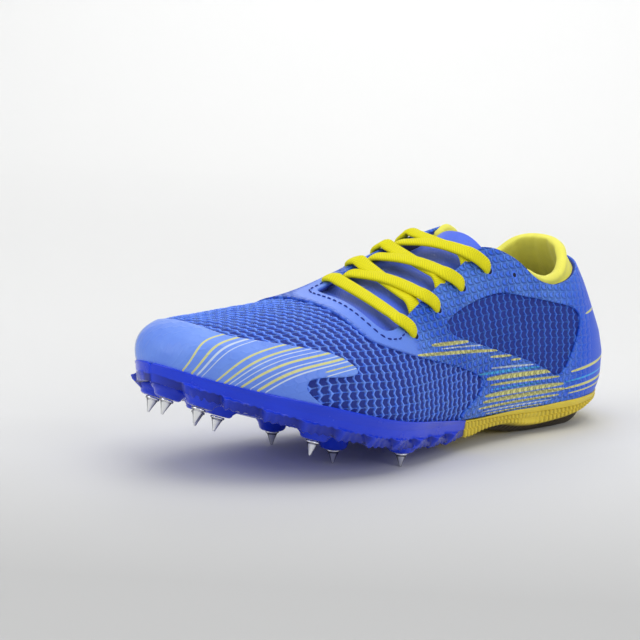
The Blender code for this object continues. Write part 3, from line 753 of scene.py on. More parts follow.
def lining_cloth():
    """Yellow brushed lining that turns navy towards the throat, where the quarters aren't lined."""
    finish, tree, shader = paint("lining cloth")
    place = object_place(tree)
    lined = ramp_between(tree, split(tree, place)["Y"], along(LINED_TO[0]), along(LINED_TO[1]))
    yellow = cloudy(tree, LINING_YELLOW, 0.82, 1.0, 90)
    tree.links.new(mix_colours(tree, NAVY, yellow, lined), shader.inputs["Base Color"])
    shader.inputs["Roughness"].default_value = 0.9
    shader.inputs["Sheen Weight"].default_value = 0.35
    bump(tree, shader, weave(tree, place, 1500), 0.0002, 0.5)
    return finish


NAVY_CLOTH = navy_cloth()
LINING_CLOTH = lining_cloth()


def upper_wall():
    """The last's skin, SINK inside it, cut at throat and collar and made WALL - SINK thick."""
    points, normal, _ = last_sheet(0.0, 1.0, FEATHER_ANGLE, 180 - FEATHER_ANGLE, WALL_PITCH)
    points = points - normal * SINK
    (points, normal), quads = cut_sheet(points, opening_field(points), [normal])
    made = build_mesh("upper_wall", points, facing(quads, points, normal), merge=SEAM)
    made.data.materials.append(NAVY_CLOTH)
    made.data.materials.append(LINING_CLOTH)
    add_wall(made, WALL - SINK, inner_slot=1)
    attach(made, "root")
    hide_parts("upper")


upper_wall()


# Knit panels
# The airy honeycomb knit that shows on the forefoot and in the quarters' windows: a raised
# net of lighter yarn round deep, dark cells. The panels' borders are tucked under the films.
CELL = (0.00450, 0.00368)
CELL_ZIG = 0.26
CELL_BAR = 0.82
CELL_BLUNT = 6.0
CELL_TILT = 0.09
CELL_LEAN = (0.02, 0.46, 0.034)
CELL_DEPTH = 0.00100
KNIT_LIFT = 0.00015
TUCK = 0.0025
KNIT_PITCH = 0.00062
CELL_DARK = (0.024, 0.110, 0.68)
YARN_BLUE = (0.150, 0.310, 0.98)
WINDOW_DARK = (0.002, 0.034, 0.36)
WINDOW_BLUE = (0.050, 0.165, 0.70)
TOE_FILM = (
    # station, height
    (0.955, 0.710),
    (0.940, 0.655),
    (0.907, 0.637),
    (0.848, 0.610),
    (0.790, 0.575),
    (0.758, 0.510),
    (0.766, 0.478),
    (0.838, 0.490),
    (0.853, 0.465),
    (0.850, 0.420),
    (0.815, 0.340),
    (0.800, 0.200),
)
QUARTER_FRONT = (
    # station, height
    (0.716, 0.850),
    (0.716, 0.630),
    (0.677, 0.580),
    (0.615, 0.524),
    (0.508, 0.446),
    (0.435, 0.385),
    (0.400, 0.325),
    (0.435, 0.246),
    (0.473, 0.194),
    (0.490, 0.080),
)
WINDOW = (
    # station, height
    (0.517, 0.618),
    (0.495, 0.658),
    (0.432, 0.710),
    (0.350, 0.750),
    (0.290, 0.715),
    (0.230, 0.682),
    (0.133, 0.618),
    (0.152, 0.463),
    (0.193, 0.268),
    (0.250, 0.367),
    (0.378, 0.478),
    (0.495, 0.574),
)


def side_outline(rows):
    """A table of stations and heights as points in Y and Z."""
    return [(along(station), height * INSTEP_HEIGHT) for station, height in rows]


def toe_film_field(points):
    """Distance in side view to the toe film's outline: negative on the film."""
    front = along(1.2)
    beyond = [(front, 0.0), (front, INSTEP_HEIGHT), (along(TOE_FILM[0][0]), INSTEP_HEIGHT)]
    outline = beyond + side_outline(TOE_FILM) + [(along(TOE_FILM[-1][0]), 0.0)]
    return outline_distance(points[..., 1:], round_corners(outline))


def quarter_front_field(points):
    """Distance in side view to the quarter film's front edge: negative behind it."""
    back = along(-0.3)
    top = 2 * INSTEP_HEIGHT
    outline = [(back, -0.02), (back, top), (along(QUARTER_FRONT[0][0]), top)] + side_outline(QUARTER_FRONT)
    outline.append((along(QUARTER_FRONT[-1][0]), -0.02))
    return outline_distance(points[..., 1:], round_corners(outline))


def window_field(points):
    """Distance in side view to the window in the quarter film: negative inside it."""
    return outline_distance(points[..., 1:], round_corners(side_outline(WINDOW)))


def cell_rim(cloth):
    """How far a point is from a cell's middle: 0 there and 1 on the ridge between two columns.

    Cells stand in a lattice of CELL's two pitches. Its rows drop by CELL_TILT, and its columns
    lean by a straight line and a tanh of the girth, and zigzag once in each row. With a and b
    the distances from the middle in half pitches, the value is
    (a ^ n + (CELL_BAR b) ^ n) ^ (1 / n), n being CELL_BLUNT, so the bars are lower than the ridges.
    """
    base, extra, reach = CELL_LEAN
    u, v = cloth[..., 0], cloth[..., 1]
    row = (v + CELL_TILT * u) / CELL[1]
    b = np.abs((row + 0.5) % 1.0 - 0.5) * 2
    column = (u + base * v + extra * reach * np.tanh(v / reach)) / CELL[0] + CELL_ZIG * b
    a = np.abs((column + 0.5) % 1.0 - 0.5) * 2
    return (a ** CELL_BLUNT + (b * CELL_BAR) ** CELL_BLUNT) ** (1 / CELL_BLUNT)


def honeycomb_group():
    """Node group: the same honeycomb as cell_rim, for colour and bump, from a cloth map in metres."""
    group = bpy.data.node_groups.new("Honeycomb", "ShaderNodeTree")
    group.interface.new_socket(name="Vector", in_out="INPUT", socket_type="NodeSocketVector")
    group.interface.new_socket(name="Rim", in_out="OUTPUT", socket_type="NodeSocketFloat")
    source = group.nodes.new("NodeGroupInput")
    sink = group.nodes.new("NodeGroupOutput")
    parts = split(group, source.outputs["Vector"])
    base, extra, reach = CELL_LEAN
    u, v = parts["X"], parts["Y"]
    curl = compute(group, "TANH", compute(group, "DIVIDE", v, reach))
    eased = compute(group, "MULTIPLY", curl, extra * reach)
    lean = compute(group, "MULTIPLY_ADD", v, base, eased)
    row = compute(group, "DIVIDE", compute(group, "MULTIPLY_ADD", u, CELL_TILT, v), CELL[1])
    off_row = compute(group, "ABSOLUTE", compute(group, "WRAP", row, 0.5, -0.5))
    off_row = compute(group, "MULTIPLY", off_row, 2.0)
    column = compute(group, "DIVIDE", compute(group, "ADD", u, lean), CELL[0])
    column = compute(group, "MULTIPLY_ADD", off_row, CELL_ZIG, column)
    off_column = compute(group, "ABSOLUTE", compute(group, "WRAP", column, 0.5, -0.5))
    powers = [compute(group, "POWER", compute(group, "MULTIPLY", off_column, 2.0), CELL_BLUNT),
              compute(group, "POWER", compute(group, "MULTIPLY", off_row, CELL_BAR), CELL_BLUNT)]
    total = compute(group, "ADD", powers[0], powers[1])
    group.links.new(compute(group, "POWER", total, 1 / CELL_BLUNT), sink.inputs["Rim"])
    return group


HONEYCOMB = honeycomb_group()


def honeycomb(tree, vector):
    """The honeycomb's rim value on a cloth map."""
    node = tree.nodes.new("ShaderNodeGroup")
    node.node_tree = HONEYCOMB
    tree.links.new(vector, node.inputs["Vector"])
    return node.outputs["Rim"]


def knit_yarn(name, dark, light):
    """Honeycomb knit: bright zigzag ridges of yarn, and cells of mottled loops that are see-through
    here and there, where the dark backing or a speck of the yellow lining shows."""
    finish, tree, shader = paint(name)
    cloth = attribute(tree, "cloth").outputs["Vector"]
    rim = honeycomb(tree, cloth)
    yarn = cloudy(tree, light, 0.8, 1.3, 260)
    flecks = ramp_between(tree, noise(tree, 620, 2.0), 0.40, 0.62)
    floor = mix_colours(tree, dark, shaded(light, 0.52), flecks)
    deep = ramp_between(tree, noise(tree, 75, 2.0), 0.55, 0.70)
    open_cell = compute(tree, "MULTIPLY", ramp_between(tree, rim, 0.80, 0.45), deep)
    floor = mix_colours(tree, floor, shaded(dark, 0.12), open_cell)
    speck = compute(tree, "MULTIPLY", ramp_between(tree, noise(tree, 310, 1.0), 0.66, 0.74), open_cell)
    floor = mix_colours(tree, floor, LINING_YELLOW, compute(tree, "MULTIPLY", speck, 0.5))
    tone = mix_colours(tree, floor, yarn, ramp_between(tree, rim, 0.74, 0.95))
    tree.links.new(tone, shader.inputs["Base Color"])
    shader.inputs["Roughness"].default_value = 0.55
    shader.inputs["Specular IOR Level"].default_value = 0.3
    bump(tree, shader, weave(tree, cloth, 1450), 0.00025, 0.6)
    return finish


KNIT_YARN = knit_yarn("honeycomb knit", CELL_DARK, YARN_BLUE)
WINDOW_YARN = knit_yarn("window knit", WINDOW_DARK, WINDOW_BLUE)


def knit_panel(name, low, high, first, final, field_of, finish):
    """A panel of knit between two stations and turns, kept where its field is negative.

    The net stands KNIT_LIFT over the last, and the cells sink by CELL_DEPTH along a smooth step.
    """
    points, normal, cloth = last_sheet(low, high, first, final, KNIT_PITCH, (low + high) / 2)
    step = np.clip((cell_rim(cloth) - 0.50) / 0.50, 0, 1)
    relief = KNIT_LIFT - CELL_DEPTH * (1 - ease(step))
    field = field_of(points)
    points = points + normal * relief[..., None]
    (points, normal, cloth), quads = cut_sheet(points, field, [normal, cloth])
    made = build_mesh(name, points, facing(quads, points, normal), {"cloth": cloth}, merge=SEAM)
    made.data.materials.append(finish)
    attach(made, "root")


def forefoot_field(points):
    """Negative on the forefoot's knit: off both films but for the tucked border."""
    under_films = np.minimum(toe_film_field(points), quarter_front_field(points)) + TUCK
    return -under_films


def window_knit_field(points):
    """Negative on the window's knit: inside the window and on the tucked border."""
    return window_field(points) - TUCK


KNIT_PANELS = (
    # name, first station, last station, first turn, last turn, field, finish
    ("knit_forefoot", 0.36, 0.975, FEATHER_ANGLE, 180 - FEATHER_ANGLE, forefoot_field, KNIT_YARN),
    ("knit_window_outer", 0.08, 0.56, FEATHER_ANGLE + 15, 60, window_knit_field, WINDOW_YARN),
    ("knit_window_inner", 0.08, 0.56, 120, 190, window_knit_field, WINDOW_YARN),
)
for panel in KNIT_PANELS:
    knit_panel(*panel)


# Films
# Thin welded films over the knit: a smooth pale one round the toe with swept lines, and a
# royal blue one with a pressed honeycomb over eyestay, quarters and heel, with streaks.
FILM_TOP = 0.0009
FILM_FOOT = -22.0
FILM_PITCH = 0.00115
PRESSED_FROM = 0.10
PRESSED_OVER = 0.12
SMOOTH_BAND = 0.013
SMOOTH_EDGE = 0.004
SMOOTH_FROM = 0.585
SMOOTH_OVER = 0.03
TOE_BLUE = (0.130, 0.260, 0.86)
TOE_PALE = (0.185, 0.345, 0.93)
QUARTER_BLUE = (0.008, 0.092, 0.74)
QUARTER_PALE = (0.105, 0.270, 1.00)
LINE_YELLOW = (0.76, 0.74, 0.20)
LINE_WHITE = (0.66, 0.76, 0.86)
LINE_CYAN = (0.05, 0.42, 0.86)
SWEEP = (
    # start station, start height, rise, bend length, slope
    (0.750, 0.0034, 0.0070, 0.0090, 0.060),
    (0.903, 0.0034, 0.0080, 0.0085, 0.075),
    (0.931, 0.0024, 0.0090, 0.0080, 0.090),
    (0.957, 0.0014, 0.0110, 0.0060, 0.110),
    (0.986, 0.0017, 0.0120, 0.0034, 0.140),
    (1.040, 0.0017, 0.0130, 0.0030, 0.160),
)
SWEEP_LINES = (
    # start station, width, colour
    (0.9860, 0.00075, LINE_YELLOW),
    (0.9790, 0.00085, LINE_YELLOW),
    (0.9745, 0.00075, LINE_WHITE),
    (0.9705, 0.00030, LINE_WHITE),
    (0.9570, 0.00075, LINE_YELLOW),
    (0.9490, 0.00080, LINE_YELLOW),
    (0.9440, 0.00040, LINE_WHITE),
    (0.9380, 0.00032, LINE_WHITE),
    (0.9310, 0.00090, LINE_YELLOW),
    (0.9210, 0.00045, LINE_WHITE),
    (0.9120, 0.00105, LINE_YELLOW),
    (0.9030, 0.00055, LINE_WHITE),
)
TAIL_LINES = (
    # start station, width, colour
    (0.8910, 0.00055, LINE_YELLOW),
    (0.8800, 0.00040, LINE_WHITE),
)
TAIL_START = -0.186
STREAK_SPREAD = 1.3
STREAKS = (
    # start y, start z, end y, end z, width, colour
    (-0.1132, 0.0529, -0.0819, 0.0512, 0.0013, LINE_YELLOW),
    (-0.1058, 0.0506, -0.0685, 0.0483, 0.0005, LINE_WHITE),
    (-0.1264, 0.0502, -0.0593, 0.0449, 0.0012, LINE_YELLOW),
    (-0.0649, 0.0424, -0.0483, 0.0415, 0.0009, LINE_YELLOW),
    (-0.0485, 0.0394, -0.0412, 0.0392, 0.0008, LINE_YELLOW),
    (-0.0642, 0.0371, -0.0313, 0.0356, 0.0007, LINE_WHITE),
    (-0.0741, 0.0352, -0.0266, 0.0340, 0.0010, LINE_CYAN),
    (-0.0680, 0.0324, -0.0149, 0.0312, 0.0018, LINE_YELLOW),
    (-0.0649, 0.0293, -0.0108, 0.0279, 0.0010, LINE_YELLOW),
    (-0.0640, 0.0270, -0.0250, 0.0265, 0.0005, LINE_CYAN),
    (-0.0690, 0.0246, -0.0072, 0.0241, 0.0017, LINE_YELLOW),
    (-0.0705, 0.0219, -0.0058, 0.0215, 0.0016, LINE_YELLOW),
    (-0.0735, 0.0192, -0.0100, 0.0189, 0.0010, LINE_YELLOW),
    (-0.0690, 0.0173, -0.0155, 0.0170, 0.0006, LINE_WHITE),
    (-0.0660, 0.0158, -0.0220, 0.0155, 0.0005, LINE_YELLOW),
    (-0.0020, 0.0293, 0.0360, 0.0331, 0.0011, LINE_YELLOW),
    (-0.0065, 0.0246, 0.0350, 0.0275, 0.0006, LINE_CYAN),
    (-0.0060, 0.0214, 0.0370, 0.0242, 0.0010, LINE_YELLOW),
    (-0.0030, 0.0188, 0.0360, 0.0210, 0.0006, LINE_YELLOW),
    (0.0109, 0.0562, 0.0240, 0.0574, 0.0008, LINE_YELLOW),
)


def film_base(name, dark, pale, roughness, pressed):
    """A film's paint: cloudy tone and satin gloss, with a pressed honeycomb where asked, whose ridges carry a
    painted highlight.
    """
    finish, tree, shader = paint(name)
    clouds = noise(tree, 34, 4.0)
    tone = mix_colours(tree, dark, pale, ramp_between(tree, clouds, 0.30, 0.72))
    shader.inputs["Roughness"].default_value = roughness
    shader.inputs["Specular IOR Level"].default_value = 0.35
    if pressed:
        cloth = attribute(tree, "cloth").outputs["Vector"]
        rim = honeycomb(tree, cloth)
        fade = attribute(tree, "pressed").outputs["Fac"]
        dimple = compute(tree, "MULTIPLY", ramp_between(tree, rim, 1.00, 0.35), fade)
        # Painted highlight: the pressed ridges are lightened towards a paler blue.
        ridge = ramp_between(tree, rim, 0.45, 0.90)
        ridge = compute(tree, "MULTIPLY", ridge, compute(tree, "MULTIPLY", fade, 0.30))
        tone = mix_colours(tree, dark, tone, fade)
        tone = mix_colours(tree, tone, tuple(min(c * 1.6, 1) for c in pale), ridge)
        bump(tree, shader, dimple, 0.0020, 1.0)
    return finish, tree, shader, tone


def sweep_print(tree, tone):
    """Prints the toe's swept lines: bands of the sweep attribute, as wide as the table says."""
    sweep = attribute(tree, "sweep").outputs["Fac"]
    spread = attribute(tree, "spread").outputs["Fac"]
    tail = ramp_between(tree, split(tree, object_place(tree))["Y"], TAIL_START, TAIL_START + 0.002)
    for rows, shown in ((SWEEP_LINES, None), (TAIL_LINES, tail)):
        for start, width, colour in rows:
            off = compute(tree, "ABSOLUTE", compute(tree, "SUBTRACT", sweep, start))
            mask = ramp_between(tree, compute(tree, "MULTIPLY", off, spread), width * 0.62, width * 0.38)
            mask = mask if shown is None else compute(tree, "MULTIPLY", mask, shown)
            tone = mix_colours(tree, tone, colour, compute(tree, "MULTIPLY", mask, 0.88))
    return tone


def sweep_start(y, z):
    """The start station of the swept line that runs through a point in side view.

    A line leaves the plate's edge and climbs by rise (1 - exp(-way / bend)) + slope * way, as
    the table gives for its start. The start is halved in on 30 times.
    """
    low = np.clip(station_of(y), SWEEP[0][0], 1.0)
    high = np.full(y.shape, SWEEP[-1][0])
    for _ in range(30):
        start = (low + high) / 2
        base, rise, bend, slope = (read_table(SWEEP, column, start) for column in (1, 2, 3, 4))
        way = y - along(start)
        level = feather(start) + base + rise * (1 - np.exp(-np.maximum(way, 0) / bend)) + slope * way
        below = level < z
        low = np.where(below, start, low)
        high = np.where(below, high, start)
    return (low + high) / 2


def marbling(tree):
    """Height of the film's faint blisters: a distorted cell pattern mixed with fine noise."""
    cells = tree.nodes.new("ShaderNodeTexVoronoi")
    cells.feature = "SMOOTH_F1"
    cells.inputs["Scale"].default_value = 260
    cells.inputs["Smoothness"].default_value = 0.6
    tree.links.new(object_place(tree), cells.inputs["Vector"])
    return compute(tree, "MULTIPLY_ADD", noise(tree, 240, 4.0), 1.4, cells.outputs["Distance"])


def streak_group():
    """Node group: how much a point lies on a straight streak in side view, tapered to its ends.

    Along runs from 0 to 1 between the ends. The streak's half width follows a flat arch,
    (4 along (1 - along)) ^ 0.25, and its edge is drawn between 80% and 120% of it.
    """
    group = bpy.data.node_groups.new("Streak", "ShaderNodeTree")
    for socket in ("Y", "Z", "Start Y", "Start Z", "End Y", "End Z", "Width"):
        group.interface.new_socket(name=socket, in_out="INPUT", socket_type="NodeSocketFloat")
    group.interface.new_socket(name="Mask", in_out="OUTPUT", socket_type="NodeSocketFloat")
    source = group.nodes.new("NodeGroupInput").outputs
    sink = group.nodes.new("NodeGroupOutput")
    run = compute(group, "SUBTRACT", source["End Y"], source["Start Y"])
    share = compute(group, "DIVIDE", compute(group, "SUBTRACT", source["Y"], source["Start Y"]), run)
    rise = compute(group, "SUBTRACT", source["End Z"], source["Start Z"])
    middle = compute(group, "MULTIPLY_ADD", share, rise, source["Start Z"])
    off = compute(group, "ABSOLUTE", compute(group, "SUBTRACT", source["Z"], middle))
    arch = compute(group, "MULTIPLY", share, compute(group, "SUBTRACT", 1.0, share))
    arch = compute(group, "MULTIPLY", arch, 4.0)
    taper = compute(group, "POWER", compute(group, "MAXIMUM", arch, 0.0), 0.25)
    half = compute(group, "MULTIPLY", compute(group, "MULTIPLY", source["Width"], 0.5), taper)
    off = compute(group, "DIVIDE", off, compute(group, "MAXIMUM", half, 1e-6))
    within = compute(group, "SUBTRACT", 1.2, off)
    mask = compute(group, "MULTIPLY", within, 2.5, clamp=True)
    group.links.new(mask, sink.inputs["Mask"])
    return group


STREAK = streak_group()


def streak_print(tree, tone):
    """Prints the quarters' straight streaks, one group node for each row of the table."""
    parts = split(tree, object_place(tree))
    for start_y, start_z, end_y, end_z, width, colour in STREAKS:
        node = tree.nodes.new("ShaderNodeGroup")
        node.node_tree = STREAK
        tree.links.new(parts["Y"], node.inputs["Y"])
        tree.links.new(parts["Z"], node.inputs["Z"])
        for socket, value in (("Start Y", start_y), ("Start Z", start_z), ("End Y", end_y),
                              ("End Z", end_z), ("Width", width * STREAK_SPREAD)):
            node.inputs[socket].default_value = value
        tone = mix_colours(tree, tone, colour, compute(tree, "MULTIPLY", node.outputs["Mask"], 0.92))
    return tone


def toe_film():
    """The toe film with its sweep: spread is the distance for each unit of sweep, so that a
    printed line keeps its width in metres."""
    points, normal, cloth = last_sheet(0.72, 1.0, FILM_FOOT, 180 - FILM_FOOT, FILM_PITCH * 0.7, 0.85)
    sweep = sweep_start(points[..., 1], points[..., 2])
    change = np.zeros_like(sweep)
    for axis in (0, 1):
        step = np.linalg.norm(np.gradient(points, axis=axis), axis=-1)
        change += (np.gradient(sweep, axis=axis) / np.maximum(step, 1e-5)) ** 2
    spread = 1 / np.sqrt(change + 1e-6)
    field = toe_film_field(points)
    (points, normal, cloth, sweep, spread), quads = cut_sheet(points + normal * FILM_TOP, field,
                                                              [normal, cloth, sweep, spread])
    made = build_mesh("toe_film_print", points, facing(quads, points, normal),
                      {"cloth": cloth, "sweep": sweep, "spread": spread}, merge=SEAM)
    finish, tree, shader, tone = film_base("pale toe film", TOE_BLUE, TOE_PALE, 0.36, False)
    tree.links.new(sweep_print(tree, tone), shader.inputs["Base Color"])
    cloth_rim = honeycomb(tree, attribute(tree, "cloth").outputs["Vector"])
    through = bump(tree, shader, ramp_between(tree, cloth_rim, 0.6, 1.2), 0.0005, 0.35)
    bump(tree, shader, marbling(tree), 0.0004, 0.45, before=through)
    made.data.materials.append(finish)
    add_wall(made, FILM_TOP + SINK)
    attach(made, "root")
    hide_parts("toe_film")


def quarter_film():
    """The quarter film. Its pressing fades out at the heel and on the smooth band that rims the
    front of the throat, each along a straight ramp of station or of distance."""
    points, normal, cloth = last_sheet(0.0, 0.74, FILM_FOOT, 180 - FILM_FOOT, FILM_PITCH, 0.4)
    field = np.maximum(opening_field(points), quarter_front_field(points))
    field = np.maximum(field, -window_field(points))
    station = station_of(points[..., 1])
    off_throat = np.maximum(outline_distance(points[..., :2], throat_outline()), 0)
    smooth = np.clip((SMOOTH_BAND - off_throat) / SMOOTH_EDGE, 0, 1)
    smooth = smooth * np.clip((station - SMOOTH_FROM) / SMOOTH_OVER, 0, 1)
    pressed = np.clip((station - PRESSED_FROM) / PRESSED_OVER, 0, 1) * (1 - smooth)
    (points, normal, cloth, pressed, smooth), quads = cut_sheet(points + normal * FILM_TOP, field,
                                                                [normal, cloth, pressed, smooth])
    made = build_mesh("quarter_film_print", points, facing(quads, points, normal),
                      {"cloth": cloth, "pressed": pressed, "smooth": smooth}, merge=SEAM)
    finish, tree, shader, tone = film_base("royal quarter film", QUARTER_BLUE, QUARTER_PALE, 0.42, True)
    tone = mix_colours(tree, tone, TOE_BLUE, attribute(tree, "smooth").outputs["Fac"])
    tree.links.new(streak_print(tree, tone), shader.inputs["Base Color"])
    made.data.materials.append(finish)
    add_wall(made, FILM_TOP + SINK)
    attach(made, "root")
    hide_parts("quarter_film")


toe_film()
quarter_film()


# Collar lining
# A foam pad under yellow brushed knit, sewn in round the heel. It stands a little above the
# quarters' edge and puckers into soft upright wrinkles where it turns over.
PAD_END_OUTER = 0.270
PAD_END_INNER = 0.358
PAD_DEPTH = 0.030
PAD_LIP = 0.0048
PAD_OVERHANG = 0.0021
PAD_SHOULDER = 0.945
PAD_THICKNESS = 0.0058
PAD_CLEARANCE = 0.0001
PAD_ROUND = (0.013, 0.006)
PAD_COLUMNS = 260
PAD_RING = 56
PAD_HEEL_SHARE = 0.45
PAD_END_SHARE = 0.11
WRINKLE = 0.00030
WRINKLE_WAVES = (
    # waves along the collar, share of the height, phase
    (9, 1.00, 0.0),
    (14, 0.70, 1.3),
    (25, 0.35, 0.4),
)


def collar_pad():
    """The pad: a flat tube round the heel. Its section runs down the wall by a cosine and out
    from it by a blunt power of a sine; wrinkles are three sine waves along the collar. Towards
    its ends the top drops along a quarter circle."""
    way = np.linspace(-1, 1, PAD_COLUMNS)
    share = np.abs(way)
    last_station = np.where(way < 0, PAD_END_INNER, PAD_END_OUTER)
    beyond = (share - PAD_HEEL_SHARE) / (1 - PAD_HEEL_SHARE)
    station = np.where(share < PAD_HEEL_SHARE,
                       HEEL_ROUND * (1 - np.cos(share / PAD_HEEL_SHARE * math.pi / 2)),
                       HEEL_ROUND + (last_station - HEEL_ROUND) * beyond)
    side = np.where(way < 0, -1.0, 1.0)
    thin = np.clip((station - PAD_END_OUTER) / (PAD_END_INNER - PAD_END_OUTER), 0, 1)
    turn = np.linspace(0, 2 * math.pi, PAD_RING, endpoint=False)
    down = (PAD_DEPTH + PAD_LIP) * (1 - np.cos(turn)) / 2 - PAD_LIP
    at_collar = last_at_height(station, np.full_like(station, COLLAR_RISE * 0.8), side)
    edge = collar_height(station, at_collar[:, 0])
    close = np.clip(1 - (1 - share) / PAD_END_SHARE, 0, 1)
    edge = edge - np.where(way < 0, *PAD_ROUND) * (1 - np.sqrt(1 - close ** 2))
    level = edge[:, None] - down[None, :]
    highest = ridge_height(station)[:, None] * PAD_SHOULDER
    base = last_at_height(station[:, None], np.minimum(level, highest), side[:, None])
    base[..., 2] += np.maximum(level - highest, 0) * 0.8
    spread = np.minimum(edge[:, None] - np.linspace(-PAD_LIP, PAD_DEPTH, 12)[None, :], highest - 0.002)
    smooth_base = last_at_height(station[:, None], spread - np.linspace(0, 0.002, 12)[None, :], side[:, None])
    inward = -grid_normals(smooth_base)
    middle = np.array((0, along(0.12), feather(0.12) + COLLAR_RISE / 2))
    if np.sum(inward * (middle - smooth_base)) < 0:
        inward = -inward
    index = np.clip((down + PAD_LIP) / (PAD_DEPTH + PAD_LIP) * 11, 0, 11)
    low = np.clip(index.astype(int), 0, 10)
    part = (index - low)[None, :, None]
    inward = inward[:, low] * (1 - part) + inward[:, low + 1] * part
    swell = blunted(np.sin(turn), 0.55)
    taper = np.interp(down, [-PAD_LIP, 0.010, PAD_DEPTH], [1.0, 1.0, 0.45])
    depth = PAD_THICKNESS * (0.5 + 0.5 * swell * taper)
    wave = np.arange(PAD_COLUMNS) / PAD_COLUMNS * 2 * math.pi
    pucker = sum(height * np.sin(wave * count + phase) for count, height, phase in WRINKLE_WAVES)
    fold = WRINKLE * pucker[:, None] * np.clip(swell, 0, 1)[None, :] * np.interp(down, [0, 0.02], [1, 0.2])
    ends = np.clip((1 - share) / 0.03, 0, 1) ** 0.5 * (1 - 0.6 * thin)
    over = np.clip(-down / 0.0022, 0, 1)
    overhang = PAD_OVERHANG * ease(over)[None, :] * np.clip(-swell, 0, 1)[None, :]
    offset = WALL + PAD_CLEARANCE + depth[None, :] * (0.3 + 0.7 * ends[:, None]) + fold - overhang
    points = base + inward * offset[..., None]
    cloth = np.stack(np.broadcast_arrays(way[:, None] * 0.09, down[None, :], np.zeros((1, 1))), -1)
    quads = grid_quads(PAD_COLUMNS, PAD_RING, wrap_columns=True)
    made = build_mesh("collar_pad", points.reshape(-1, 3), quads, {"cloth": cloth.reshape(-1, 3)})
    return close_mesh(made)


def pad_cloth():
    """Brushed yellow knit: fine ribs, soft sheen, darker where it folds."""
    finish, tree, shader = paint("collar knit")
    cloth = attribute(tree, "cloth").outputs["Vector"]
    tree.links.new(cloudy(tree, LINING_YELLOW, 0.86, 1.1, 150), shader.inputs["Base Color"])
    shader.inputs["Roughness"].default_value = 0.85
    shader.inputs["Sheen Weight"].default_value = 0.2
    bump(tree, shader, weave(tree, cloth, 1500), 0.00025, 0.5)
    return finish


pad = collar_pad()
pad.data.materials.append(pad_cloth())
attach(pad, "root")
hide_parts("collar_lining")


# Tongue and insole
# The tongue is a thin bright blue textile with a bound edge, sewn in ahead of the throat and
# sagging between its sides because the shoe is empty. The insole is a flat brushed board.
TONGUE_TOP = 0.352
TONGUE_ROOT = 0.70
TONGUE_CROWN = 0.016
TONGUE_MARGIN = 0.0075
TONGUE_SAG = 0.0075
TONGUE_THICKNESS = 0.0022
TONGUE_ROWS = 120
TONGUE_COLUMNS = 70
TONGUE_BLUE = (0.045, 0.130, 0.84)
SAG = (
    # way, sag
    (0.00, 0.30),
    (0.12, 1.00),
    (0.60, 0.75),
    (1.00, 0.15),
)


def over_last(station, across, lift=0.0):
    """Points above the top of the last at stations and distances across, and the normals there.

    The angle round the section is halved in on 40 times until its point lies at the distance.
    """
    station, across = np.broadcast_arrays(np.asarray(station, float), np.asarray(across, float))

    def find(stations, places):
        """Points of the last at distances across."""
        low = np.zeros(stations.shape)
        high = np.full(stations.shape, 180.0)
        for _ in range(40):
            middle = (low + high) / 2
            beyond = last_at_turn(stations, middle)[..., 0] > places
            low = np.where(beyond, middle, low)
            high = np.where(beyond, high, middle)
        return last_at_turn(stations, (low + high) / 2)

    spot = find(station, across)
    side = find(station, across + 0.001) - spot
    ahead = find(station + 0.004, across) - spot
    normal = np.cross(side, ahead)
    normal *= np.sign(normal[..., 2:]) / np.linalg.norm(normal, axis=-1, keepdims=True)
    return spot + normal * np.asarray(lift)[..., None], normal


def tongue():
    """The tongue: a sheet of the last, lowered between the throat's sides by a sine arch."""
    way = np.linspace(0, 1, TONGUE_ROWS)[:, None]
    share = np.linspace(0, 1, TONGUE_COLUMNS)[None, :]
    station = TONGUE_TOP + (TONGUE_ROOT - TONGUE_TOP) * way
    inside = np.minimum(station, THROAT[-1][0])
    lateral = read_table(THROAT, 1, inside) * BALL_WIDTH + TONGUE_MARGIN
    medial = read_table(THROAT, 2, inside) * BALL_WIDTH - TONGUE_MARGIN
    corner = TONGUE_CROWN * np.abs(2 * share - 1) ** 2.5 * (1 - way)
    spot, normal = over_last(station - corner, lateral + (medial - lateral) * share)
    sag = TONGUE_SAG * read_table(SAG, 1, way) * np.sin(math.pi * share)
    points = spot - normal * (WALL + 0.0006)
    points[..., 2] -= sag
    cloth = np.stack(np.broadcast_arrays(way * 0.1, share * 0.05, np.zeros((1, 1))), -1)
    quads = grid_quads(TONGUE_ROWS, TONGUE_COLUMNS)
    flat_normal = grid_normals(points).reshape(-1, 3)
    flat_normal = flat_normal * np.sign(flat_normal[:, 2:].sum())
    points = points.reshape(-1, 3)
    made = build_mesh("tongue_cloth", points, facing(quads, points, flat_normal),
                      {"cloth": cloth.reshape(-1, 3)})
    add_wall(made, TONGUE_THICKNESS)
    edge = made.modifiers.new("rounded edge", "BEVEL")
    edge.width = TONGUE_THICKNESS * 0.45
    edge.segments = 3
    edge.limit_method = "ANGLE"
    edge.angle_limit = math.radians(50)
    return made


def tongue_cloth():
    """Smooth bright textile with a fine diagonal grain and a light sheen."""
    finish, tree, shader = paint("tongue cloth")
    cloth = attribute(tree, "cloth").outputs["Vector"]
    tree.links.new(cloudy(tree, TONGUE_BLUE, 0.85, 1.2, 60), shader.inputs["Base Color"])
    shader.inputs["Roughness"].default_value = 0.5
    shader.inputs["Sheen Weight"].default_value = 0.3
    bump(tree, shader, weave(tree, cloth, 1700), 0.00015, 0.4)
    return finish


def insole_cloth():
    """Grey-blue brushed cloth over the insole."""
    finish, tree, shader = paint("insole cloth")
    tone = mix_colours(tree, (0.05, 0.06, 0.13), (0.10, 0.12, 0.24), noise(tree, 420))
    tree.links.new(tone, shader.inputs["Base Color"])
    shader.inputs["Roughness"].default_value = 0.95
    bump(tree, shader, noise(tree, 900, 2.0), 0.0003, 0.6)
    return finish


